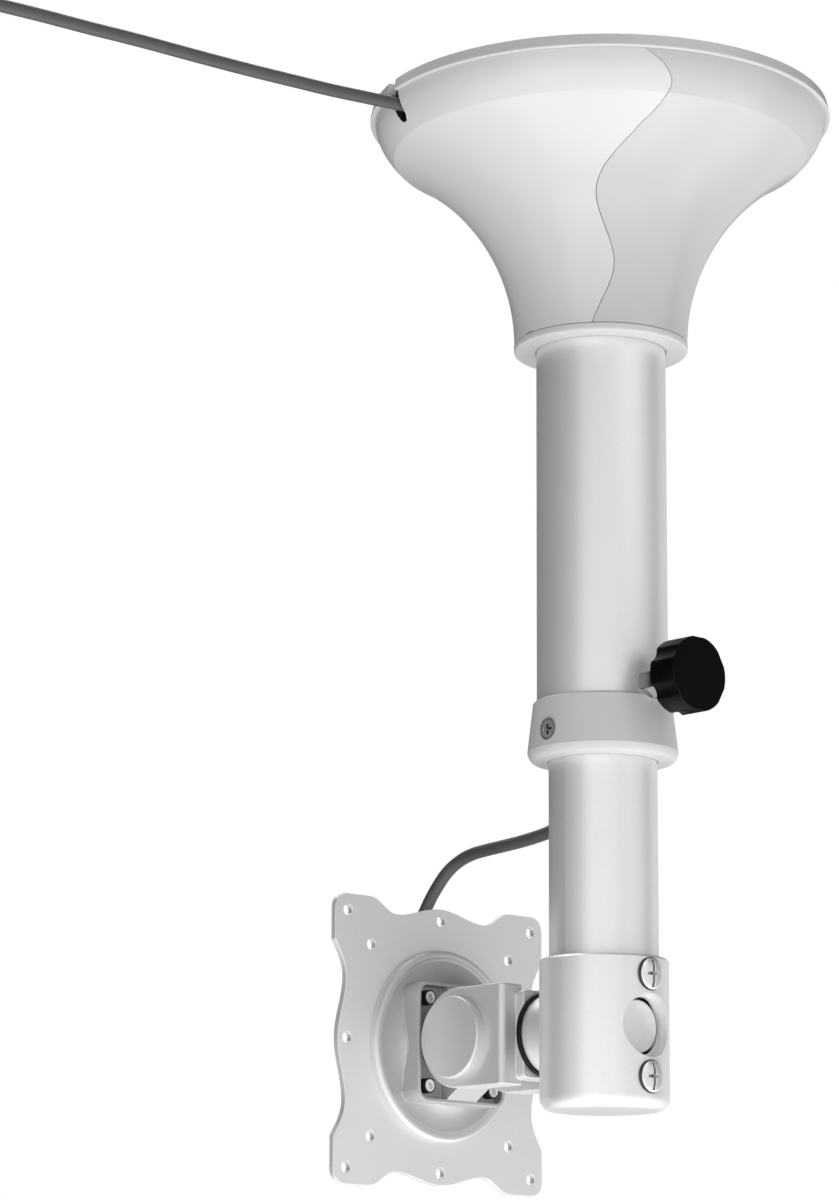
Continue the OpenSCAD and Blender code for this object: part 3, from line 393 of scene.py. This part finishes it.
finishes = {}
for looks, makeFinish in (
    (paintLooks, paintFinish), (plasticLooks, plasticFinish), (metalLooks, metalFinish),
    (sheathLooks, sheathFinish), (ringedLooks, ringedFinish),
):
    finishes.update({name: makeFinish(name, look) for name, look in looks.items()})
print("finishes made")


# Leads: the routes of the construction, in millimetres

leadLook = {"thick": 5.0, "rings": 12, "steps": 10}

ceilingRoute = [
    (260, -62.2, -4), (236, -58.6, -4.2), (216, -55.8, -4.6), (195, -52.4, -5), (170, -48.2, -6),
    (146, -43.7, -7), (128, -40, -7.6), (111.5, -36.4, -8.2), (97, -32.3, -8.7),
    (84.6, -28.4, -9.2), (70, -23.4, -10), (55, -18.4, -11), (42, -14.1, -11.6),
    (32, -10.7, -12), (23, -7.7, -13), (15, -5, -16.5), (8.5, -2.8, -22.5), (4, -1.3, -31),
    (1.2, -0.4, -43), (0, 0, -60), (0, 0, -85), (0, 0, -110), (0, 0, -135),
    (0, 0, -160), (0, 0, -185), (0, 0, -210), (0, 0, -235),
]
screenRoute = [
    (0, 0, -256), (0, -0.6, -264), (0, -3.6, -273), (0, -9.5, -280.5), (0, -18, -285.2),
    (-0.5, -30, -287.6), (-1.5, -45, -289.2), (-2.4, -57, -289.8), (-3.6, -69, -290.2),
    (-4.8, -79, -290.9), (-6, -87.5, -292.8), (-7, -94.5, -295.8), (-8, -100.5, -299.8),
    (-10, -110.5, -308.8), (-11.4, -118.5, -319.5), (-12.4, -124.8, -331.5),
    (-12.9, -129.2, -342), (-13, -130.8, -352), (-13, -131, -362), (-13, -131, -372),
]


def addLead(name, route, node, body):
    data = bpy.data.curves.new(name, "CURVE")
    data.dimensions = "3D"
    data.bevel_depth = leadLook["thick"] * mm / 2
    data.bevel_resolution = leadLook["rings"] // 2
    data.resolution_u = leadLook["steps"]
    data.use_fill_caps = True
    spline = data.splines.new("BEZIER")
    spline.bezier_points.add(len(route) - 1)
    for point, at in zip(spline.bezier_points, route):
        point.co = Vector(at) * mm
        point.handle_left_type = point.handle_right_type = "AUTO"
    lead = bpy.data.objects.new(name, data)
    bpy.context.collection.objects.link(lead)
    data.materials.append(finishes["leadSheath"])
    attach(lead, body)
    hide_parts(node)
    return lead


ceilingLead = addLead("ceilingLead", ceilingRoute[::-1], "ceiling_lead", "ceiling_post")
screenLead = addLead("screenLead", screenRoute, "screen_lead", "lower_post")
print("leads laid")


# Finishes of the construction's own pieces

nodeFinish = {
    "ceiling_plate": "coverPlastic", "tube_socket": "castPaint", "flange_screws": "zincSteel",
    "flange_nuts": "zincSteel", "socket_set_screws": "darkScrew",
    "cover_front_half": "coverPlastic", "cover_rear_half": "coverPlasticShade", "cover_ring": "trimPlastic",
    "upper_tube": "postPaint", "glide_sleeve": "nylon", "collar": "trimPlastic",
    "collar_screws": "collarScrewSteel", "clamp_nut": "nutSteel", "pressure_pad": "nylon",
    "clamp_stud": "zincSteel", "clamp_knob": "knobPlastic", "top_glide": "nylon",
    "lower_tube": "postPaint", "lead_grommet": "blackRubber", "end_cap": "castPaint",
    "cap_screws": "capScrewSteel", "roll_spacer": "zincSteel", "roll_bolt": "castPaint",
    "friction_washer": "blackRubber", "roll_washer": "zincSteel", "roll_nut": "zincSteel",
    "tilt_fork": "armPaint", "pivot_covers": "armPaint", "tilt_bolt": "zincSteel", "tilt_nut": "zincSteel",
    "tilt_washers": "nylon", "tilt_base": "basePaint", "base_screws": "baseScrewSteel",
    "boss_disc": "armPaint", "screen_plate": "castPaint", "ceiling_outlet": "coverPlastic",
    "screen_plug": "blackRubber", "plug_boot": "blackRubber",
}
for node, name in nodeFinish.items():
    for slot in frame["nodes"][node].material_slots:
        slot.material = finishes[name]
print("finishes put on")


# Modelling. Outlines are in millimetres, meshes in metres

modelling = {
    # weld: how near points are merged, of a new shape and of a copy; sharp, flat: degrees between faces
    "weld": 0.001, "copyWeld": 0.002, "sharp": 32, "flat": 0.5, "softSteps": 3,
}


def drawOutline(bm, corners, closed=True, segments=4):
    # a corner is (across, up) or (across, up, rounding), drawn in the XZ plane
    verts = [bm.verts.new((corner[0] * mm, 0, corner[1] * mm)) for corner in corners]
    for near, far in zip(verts, verts[1:] + (verts[:1] if closed else [])):
        bm.edges.new((near, far))
    for vert, corner in zip(verts, corners):
        if len(corner) > 2:
            bmesh.ops.bevel(
                bm, geom=[vert], offset=corner[2] * mm, segments=segments, profile=0.5,
                affect="VERTICES", material=-1,
            )


def turnOutline(corners, closed=True, steps=96, segments=4):
    bm = bmesh.new()
    drawOutline(bm, corners, closed, segments)
    bmesh.ops.spin(
        bm, geom=bm.verts[:] + bm.edges[:], cent=(0, 0, 0), axis=(0, 0, 1),
        angle=math.tau, steps=steps, use_merge=True,
    )
    bmesh.ops.remove_doubles(bm, verts=bm.verts, dist=modelling["weld"] * mm)
    bmesh.ops.recalc_face_normals(bm, faces=bm.faces)
    return bm


def put(bm, move, turn=(0, 0, 0)):
    turned = Euler([math.radians(angle) for angle in turn]).to_matrix().to_4x4()
    bmesh.ops.transform(bm, matrix=Matrix.Translation(Vector(move) * mm) @ turned, verts=bm.verts)
    return bm


def joinInto(bm, other):
    mesh = bpy.data.meshes.new("part")
    other.to_mesh(mesh)
    other.free()
    bm.from_mesh(mesh)
    bpy.data.meshes.remove(mesh)
    return bm


def softenEdges(piece, width, sharp):
    bevel = piece.modifiers.new("softEdges", "BEVEL")
    bevel.width = width * mm
    bevel.segments = modelling["softSteps"]
    bevel.limit_method = "ANGLE"
    bevel.angle_limit = math.radians(sharp)
    bevel.use_clamp_overlap = False
    bevel.harden_normals = True


record = frame["record"]
bodyOf = {node: body for body, nodes in record["behaviour"]["bodies"].items() for node in nodes}


def addPiece(name, bm, node, sharp=modelling["sharp"], soften=0):
    for face in bm.faces:
        face.smooth = True
    for edge in bm.edges:
        edge.smooth = edge.calc_face_angle(0) < math.radians(sharp)
    mesh = bpy.data.meshes.new(name)
    bm.to_mesh(mesh)
    bm.free()
    mesh.materials.append(finishes[nodeFinish[node]])
    piece = bpy.data.objects.new(name, mesh)
    bpy.context.collection.objects.link(piece)
    if soften:
        softenEdges(piece, soften, sharp)
    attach(piece, bodyOf[node])
    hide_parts(node)
    return piece


# A copy of a construction piece, welded and with its edges eased

def easedCopy(name, node, soften, reshape=None, sharp=modelling["sharp"]):
    bm = bmesh.new()
    bm.from_mesh(frame["nodes"][node].data)
    bmesh.ops.remove_doubles(bm, verts=bm.verts, dist=modelling["copyWeld"] * mm)
    if reshape:
        for vert in bm.verts:
            vert.co = Vector(reshape(*(vert.co / mm))) * mm
    bmesh.ops.dissolve_limit(
        bm, angle_limit=math.radians(modelling["flat"]), verts=bm.verts, edges=bm.edges,
        use_dissolve_boundaries=False,
    )
    bmesh.ops.recalc_face_normals(bm, faces=bm.faces)
    addPiece(name, bm, node, sharp=sharp, soften=soften)


easedPieces = {
    # node: new piece's name and how far its edges are eased
    "tilt_base": ("tiltBase", 0.4),
    "screen_plate": ("screenPlate", 0.25),
    "ceiling_plate": ("ceilingPlate", 0.4),
    "cap_screws": ("capScrews", 0.12),
    "base_screws": ("baseScrews", 0.2),
    "collar_screws": ("collarScrews", 0.1),
    "tilt_nut": ("tiltNut", 0.2),
    "screen_plug": ("screenPlug", 0.4),
    "ceiling_outlet": ("ceilingOutlet", 0.5),
    "lead_grommet": ("leadGrommet", 0.3),
}
for node, (name, soften) in easedPieces.items():
    easedCopy(name, node, soften)


# The fork's two bearing faces stay a hair off the washers that they turn on

forkLook = {"edge": 0.7, "seat": -31, "pocket": -35, "gap": 0.05, "near": 0.01}


def clearWashers(x, y, z, look=forkLook):
    if abs(y - look["pocket"]) < look["near"]:
        return x, look["pocket"] + look["gap"], z
    return x, min(y, look["seat"] - look["gap"]), z


# The cap's window is a little wider than its bolt

windowLook = {"from": 11.5, "to": 12.1, "behind": 8, "near": 0.06}


def widenWindow(x, y, z, look=windowLook):
    across, up = x, z - rollUp
    reach = math.hypot(across, up)
    if y < look["behind"] or abs(reach - look["from"]) > look["near"]:
        return x, y, z
    around = math.hypot(x, y)
    across, up = across * look["to"] / reach, up * look["to"] / reach
    return across, math.sqrt(around ** 2 - across ** 2), rollUp + up


# The clamp's nut is a little wider and taller than its solid

nutLook = {"edge": 0.15, "wider": 1.1, "taller": 1.05}


def growNut(x, y, z, look=nutLook):
    return x * look["wider"], y, clampUp + (z - clampUp) * look["taller"]


# The collar's wall ends in a crisp line above its rounding

collarLook = {
    "low": -264, "radius": 29.2, "rounding": 2.8, "crease": 30, "tall": 3.6, "sharp": 20, "near": 0.01,
}


def creaseCollar(x, y, z, look=collarLook):
    around = math.hypot(x, y)
    up, deep = z - look["low"], look["radius"] - around
    rounding, near = look["rounding"], look["near"]
    if up > rounding + near or deep > rounding + near or up < -near:
        return x, y, z
    start = math.radians(look["crease"])
    turn = start + (math.pi / 2 - start) * math.asin(min(1, max(0, 1 - up / rounding))) / (math.pi / 2)
    around = look["radius"] - rounding * (math.cos(start) - math.cos(turn)) / math.cos(start)
    up = look["tall"] * (1 - math.sin(turn)) / (1 - math.sin(start))
    scale = around / math.hypot(x, y)
    return x * scale, y * scale, look["low"] + up


easedCopy("tiltFork", "tilt_fork", forkLook["edge"], clearWashers)
easedCopy("endCap", "end_cap", 0, widenWindow)
easedCopy("clampNut", "clamp_nut", nutLook["edge"], growNut)
easedCopy("slipCollar", "collar", 0, creaseCollar, sharp=collarLook["sharp"])
print("edges eased")


# Bell-shaped cover: two halves that meet at a wavy seam

bellLook = {
    "radius": 90, "from": 5, "lean": 1.4, "shoulder": 19.4, "wallRows": 12,
    "neck": 34.2, "reach": 105.4, "sweep": 92, "depth": 96.6, "rows": 54, "steps": 72, "sharp": 8,
    "wall": 2.4, "gap": 0.09, "seamBearing": 48, "edge": 0.25, "edgeSharp": 45,
    "slotHalf": 3, "slotDepth": 16, "slotSides": 6, "slotReach": 12,
}
seamShares = [
    # share of the radius, share of the depth
    (0.110, 0.040), (0.155, 0.065), (0.215, 0.105), (0.250, 0.165), (0.215, 0.220),
    (0.125, 0.290), (0.010, 0.390), (-0.040, 0.455), (-0.050, 0.520), (-0.022, 0.600),
    (0.017, 0.685), (0.034, 0.757), (0.018, 0.832), (-0.037, 0.950), (-0.060, 1.005),
]


def sweepRadius(look, depth):
    rise = (look["depth"] - depth) / look["sweep"]
    return look["neck"] + look["reach"] * (1 - math.sqrt(1 - rise ** 2))


def bellRadius(look, depth):
    # the wall bends inwards down to a crease, and the sweep starts there
    if depth >= look["shoulder"]:
        return sweepRadius(look, depth)
    t = (depth - look["from"]) / (look["shoulder"] - look["from"])
    drop = look["radius"] - sweepRadius(look, look["shoulder"])
    return look["radius"] - look["lean"] * t - (drop - look["lean"]) * t * t


def seamAcross(look, depth):
    # a smooth curve through the seam's points
    share = depth / look["depth"]
    last = len(seamShares) - 1
    i = max(k for k in range(last) if seamShares[k][1] <= share or k == 0)
    near = [seamShares[min(max(k, 0), last)] for k in (i - 1, i, i + 1, i + 2)]
    a, b, c, d = [point[0] for point in near]
    t = (share - near[1][1]) / (near[2][1] - near[1][1])
    curve = 2 * b + (c - a) * t + (2 * a - 5 * b + 4 * c - d) * t ** 2 + (3 * b - a - 3 * c + d) * t ** 3
    return curve / 2 * look["radius"]


def cutSlot(bm, look):
    # the faces are cut along each side of the slot's outline, and those inside it go
    way = Matrix.Rotation(math.radians(slotBearing), 3, "Z")
    half, deep = look["slotHalf"], look["slotDepth"]
    corners = [(-half, 0), (half, 0)]
    for k in range(look["slotSides"] + 1):
        angle = math.pi * k / look["slotSides"]
        corners.append((half * math.cos(angle), half - deep - half * math.sin(angle)))

    def middle(face):
        return way.transposed() @ face.calc_center_median() / mm

    for (y0, z0), (y1, z1) in zip(corners[1:], corners[2:] + corners[:1]):
        faces = [
            face for face in bm.faces
            if abs(middle(face).y) < look["slotReach"] and middle(face).x > 0
        ]
        edges = {edge for face in faces for edge in face.edges}
        verts = {vert for face in faces for vert in face.verts}
        if (y0, z0) != (y1, z1):
            bmesh.ops.bisect_plane(
                bm, geom=[*edges, *verts, *faces], dist=modelling["weld"] / 2 * mm,
                plane_co=way @ Vector((0, y0, z0)) * mm, plane_no=way @ Vector((0, z1 - z0, y0 - y1)),
            )
    inside = []
    for face in bm.faces:
        at = middle(face)
        rounded = math.hypot(at.y, at.z - (half - deep)) < half
        if at.x > 0 and abs(at.y) < half and (at.z > half - deep or rounded):
            inside.append(face)
    bmesh.ops.delete(bm, geom=inside, context="FACES")


def addBellHalf(name, node, look, startBearing, slotted):
    bm = bmesh.new()
    high, low = look["shoulder"] - look["from"], look["depth"] - look["shoulder"]
    depths = [look["from"] + high * k / look["wallRows"] for k in range(look["wallRows"])]
    depths += [look["shoulder"] + low * k / look["rows"] for k in range(look["rows"] + 1)]
    drawOutline(bm, [(bellRadius(look, depth), -depth) for depth in depths], closed=False)
    bmesh.ops.spin(
        bm, geom=bm.verts[:] + bm.edges[:], cent=(0, 0, 0), axis=(0, 0, 1),
        angle=math.pi, steps=look["steps"], use_merge=False,
    )
    bmesh.ops.remove_doubles(bm, verts=bm.verts, dist=modelling["weld"] * mm)
    # each row is turned and drawn together until its ends lie on the seam
    for vert in bm.verts:
        radius = math.hypot(vert.co.x, vert.co.y)
        gap = look["gap"] * mm / radius
        turned = math.asin(seamAcross(look, -vert.co.z / mm) * mm / radius)
        share = math.atan2(max(vert.co.y, 0), vert.co.x) / math.pi
        bearing = math.radians(startBearing) + turned + gap + share * (math.pi - 2 * gap)
        vert.co.x, vert.co.y = radius * math.cos(bearing), radius * math.sin(bearing)
    bmesh.ops.recalc_face_normals(bm, faces=bm.faces)
    top = max(bm.faces, key=lambda face: face.calc_center_median().z)
    if top.normal.dot(Vector((*top.calc_center_median()[:2], 0))) < 0:
        bmesh.ops.reverse_faces(bm, faces=bm.faces)
    if slotted:
        cutSlot(bm, look)
    half = addPiece(name, bm, node, sharp=look["sharp"])
    wall = half.modifiers.new("wall", "SOLIDIFY")
    wall.thickness = look["wall"] * mm
    wall.offset = -1
    wall.use_even_offset = True
    softenEdges(half, look["edge"], look["edgeSharp"])


addBellHalf("coverFrontHalf", "cover_front_half", bellLook, bellLook["seamBearing"] + 180, True)
addBellHalf("coverRearHalf", "cover_rear_half", bellLook, bellLook["seamBearing"], False)


# Ring that holds the halves together round the post

ringLook = {
    "outer": 34.3, "hole": 25.8, "top": -96.75, "low": -99.9,
    "holeEdge": 0.4, "lowEdge": 0.9, "topEdge": 0.5,
    "lipOuter": 31.5, "lipInner": 29.5, "lipTop": -91.6,
}


def addRing(look):
    addPiece("coverRing", turnOutline([
        (look["hole"], look["low"], look["holeEdge"]), (look["outer"], look["low"], look["lowEdge"]),
        (look["outer"], look["top"], look["topEdge"]),
        (look["lipOuter"], look["top"]), (look["lipOuter"], look["lipTop"]),
        (look["lipInner"], look["lipTop"]), (look["lipInner"], look["top"]), (look["hole"], look["top"]),
    ]), "cover_ring")


addRing(ringLook)
print("cover made")


# Clamp knob: a lobed grip with rounded rims on a short neck

knobLook = {
    "from": 39, "outer": 14.5, "high": 12.5, "lobes": 6, "steps": 180, "edge": 0.5, "edgeSteps": 5,
    "hollow": 1.4, "hollowWide": 12.5, "frontShare": 0.25, "sharp": 40,
    "neck": 5.5, "neckHigh": 4.6, "neckEdge": 0.6, "neckSteps": 64, "sunk": 0.5, "bore": 3, "boreEnd": -0.1,
}


def addKnob(look):
    bm = bmesh.new()
    bmesh.ops.create_circle(bm, cap_ends=True, segments=look["steps"], radius=look["outer"] * mm)
    pitch = 360 / look["lobes"]
    for vert in bm.verts:
        off = math.degrees(math.atan2(vert.co.y, vert.co.x)) % pitch - pitch / 2
        vert.co *= 1 - look["hollow"] / look["outer"] * max(0, 1 - (off / look["hollowWide"]) ** 2)
    made = bmesh.ops.extrude_face_region(bm, geom=bm.faces[:])
    raised = [v for v in made["geom"] if isinstance(v, bmesh.types.BMVert)]
    for vert in raised:
        # the hollows run out towards the round front
        radius = vert.co.length / mm
        vert.co *= (look["outer"] - (look["outer"] - radius) * look["frontShare"]) / radius
    bmesh.ops.translate(bm, verts=raised, vec=(0, 0, look["high"] * mm))
    rims = [e for e in bm.edges if abs(e.verts[0].co.z - e.verts[1].co.z) < look["edge"] / 2 * mm]
    bmesh.ops.bevel(
        bm, geom=rims, offset=look["edge"] * mm, segments=look["edgeSteps"], profile=0.5,
        affect="EDGES", material=-1,
    )
    bmesh.ops.recalc_face_normals(bm, faces=bm.faces)
    joinInto(bm, turnOutline([
        (0, look["sunk"]), (look["neck"], look["sunk"]),
        (look["neck"], -look["neckHigh"], look["neckEdge"]), (look["bore"], -look["neckHigh"]),
        (look["bore"], look["boreEnd"]), (0, look["boreEnd"]),
    ], closed=False, steps=look["neckSteps"]))
    put(bm, (0, look["from"], clampUp), (-90, 0, 0))
    addPiece("clampKnob", bm, "clamp_knob", sharp=look["sharp"])


addKnob(knobLook)


# Head: the boss with its rounded lip, the covers over the pivot, and the roll bolt's plain head

bossLook = {
    "at": 88.5, "radius": 38, "thick": 2.5, "lip": 3.6, "lipRise": 1, "lipFrom": 0.72, "lipTo": 0.22,
    "footEdge": 0.9, "lipEdge": 0.7, "rimDown": 0.4, "rimEdge": 0.5, "steps": 128,
}
pivotLook = {"at": 61, "forkHalf": 20, "radius": 16, "thick": 4, "edge": 0.8, "edgeSteps": 6, "gap": 0.02}
boltLook = {"at": 17.8, "radius": 10.3, "thick": 4, "edge": 0.7, "shank": 4, "shankEnd": 59.4}


def addBoss(look):
    outer, lip, rise = look["radius"], look["lip"], look["lipRise"]
    bm = turnOutline([
        (0, 0), (outer - lip, 0, look["footEdge"]),
        (outer - lip * look["lipFrom"], -rise, look["footEdge"]),
        (outer - lip * look["lipTo"], -rise, look["lipEdge"]),
        (outer, look["rimDown"], look["rimEdge"]), (outer, look["thick"]), (0, look["thick"]),
    ], closed=False, steps=look["steps"])
    addPiece("bossDisc", put(bm, (0, -look["at"], rollUp), (90, 0, 0)), "boss_disc")


def addPivotCovers(look):
    sides = []
    for side in (1, -1):
        bm = turnOutline([
            (0, look["thick"]), (look["radius"], look["thick"], look["edge"]),
            (look["radius"], look["gap"]), (0, look["gap"]),
        ], closed=False, segments=look["edgeSteps"])
        sides.append(put(bm, (side * look["forkHalf"], -look["at"], rollUp), (90, 0, side * 90)))
    addPiece("pivotCovers", joinInto(*sides), "pivot_covers")


def addRollBolt(look):
    bm = turnOutline([
        (0, 0), (look["radius"], 0, look["edge"]), (look["radius"], look["thick"]),
        (look["shank"], look["thick"]), (look["shank"], look["shankEnd"]), (0, look["shankEnd"]),
    ], closed=False)
    addPiece("rollBolt", put(bm, (0, look["at"], rollUp), (90, 0, 0)), "roll_bolt")


addBoss(bossLook)
addPivotCovers(pivotLook)
addRollBolt(boltLook)
print("head made")


# Boot of the screen lead's plug, ribbed where it bends

bootLook = {
    "at": screenRoute[-1], "high": 14, "wide": 3.6, "narrow": 3.0, "bore": 2.55, "edge": 0.2,
    "ribs": 4, "ribsFrom": 2.2, "plain": 3, "groove": 0.45, "grooveShare": 0.4, "slant": 0.3,
    "ribIn": 0.1, "ribEdge": 0.15, "steps": 48, "edgeSteps": 2,
}


def addBoot(look):
    outline = [(look["bore"], 0), (look["wide"], 0, look["edge"])]
    pitch = (look["high"] - look["plain"]) / look["ribs"]
    slant, ribEdge = look["slant"], look["ribEdge"]
    for k in range(look["ribs"]):
        up = look["ribsFrom"] + k * pitch
        grooveEnd = up + pitch * look["grooveShare"]
        radius = look["wide"] + (look["narrow"] - look["wide"]) * up / look["high"]
        groove = radius - look["groove"]
        outline += [
            (radius, up, ribEdge), (groove, up + slant, ribEdge),
            (groove, grooveEnd, ribEdge), (radius - look["ribIn"], grooveEnd + slant, ribEdge),
        ]
    outline += [(look["narrow"], look["high"], look["edge"]), (look["bore"], look["high"])]
    bm = turnOutline(outline, steps=look["steps"], segments=look["edgeSteps"])
    addPiece("plugBoot", put(bm, look["at"]), "plug_boot")


addBoot(bootLook)

# Stage: pale floor, white surroundings, soft studio lamps

floorLook = {
    "down": -2400, "radius": 3200, "steps": 96, "tone": 0.5, "glow": 0.72,
    "roughness": 0.8, "specular": 0.2, "clouds": 0.8, "cloudy": 0.01,
}
airLook = {"seen": 1.0, "light": 0.06}
lampsPlace = {"middle": (0, 0, -210), "away": 1800}
lampLooks = {
    # right: degrees right of the camera, as seen from the post; up: degrees; power: watts
    "floorLamp": {"right": 0, "up": -88, "size": 1800, "power": 15},
    "frontLamp": {"right": -5, "up": -16, "size": 2600, "power": 22},
    "leftLamp": {"right": -50, "up": -22, "size": 2000, "power": 7},
    "sideLamp": {"right": 66, "up": -12, "size": 2300, "power": 11},
    "lowLamp": {"right": 110, "up": -50, "size": 1500, "power": 7},
    "backLamp": {"right": 140, "up": -5, "size": 1800, "power": 7},
    "highLamp": {"right": 50, "up": 40, "size": 1500, "power": 7},
    "topLamp": {"right": -150, "up": 62, "size": 1500, "power": 22},
}


def addFloor(look):
    bm = bmesh.new()
    bmesh.ops.create_circle(bm, cap_ends=True, segments=look["steps"], radius=look["radius"] * mm)
    bmesh.ops.translate(bm, verts=bm.verts, vec=(0, 0, look["down"] * mm))
    mesh = bpy.data.meshes.new("studioFloor")
    bm.to_mesh(mesh)
    bm.free()
    floor = bpy.data.objects.new("studioFloor", mesh)
    bpy.context.collection.objects.link(floor)
    f = Finish("studioFloor", roughness=look["roughness"], specular=look["specular"])
    clouds = f.noise(look["clouds"], detail=2)
    f.set("Base Color", f.blend(clouds, grey(look["tone"] * (1 - look["cloudy"])), grey(look["tone"])))
    f.set("Emission Color", grey(1))
    f.set("Emission Strength", look["glow"])
    mesh.materials.append(f.material)


def addWorld(look):
    # the camera sees bright surroundings, and the object gets a little of their light
    world = bpy.data.worlds.new("studioAir")
    world.use_nodes = True
    bpy.context.scene.world = world
    tree = world.node_tree
    tree.nodes.clear()
    seen = addNode(tree, "ShaderNodeLightPath", {}, {}, "Is Camera Ray")
    dim = addNode(tree, "ShaderNodeBackground", {}, {"Color": grey(1), "Strength": look["light"]})
    bright = addNode(tree, "ShaderNodeBackground", {}, {"Color": grey(1), "Strength": look["seen"]})
    mixed = addNode(tree, "ShaderNodeMixShader", {}, {0: seen, 1: dim, 2: bright})
    join(tree, tree.nodes.new("ShaderNodeOutputWorld").inputs["Surface"], mixed)


def addLamp(name, look, place):
    toCamera = math.atan2(cameraPlace["at"][1], cameraPlace["at"][0])
    bearing = toCamera + math.radians(look["right"])
    lift = math.radians(look["up"])
    way = Vector((math.cos(bearing) * math.cos(lift), math.sin(bearing) * math.cos(lift), math.sin(lift)))
    data = bpy.data.lights.new(name, "AREA")
    data.shape = "SQUARE"
    data.size = look["size"] * mm
    data.energy = look["power"]
    lamp = bpy.data.objects.new(name, data)
    lamp.location = Vector(place["middle"]) * mm + way * place["away"] * mm
    lamp.rotation_euler = way.to_track_quat("Z", "Y").to_euler()
    lamp.visible_camera = False
    bpy.context.collection.objects.link(lamp)


addFloor(floorLook)
addWorld(airLook)
for name, look in lampLooks.items():
    addLamp(name, look, lampsPlace)
bpy.context.scene.view_settings.view_transform = "Standard"
print("stage lit")
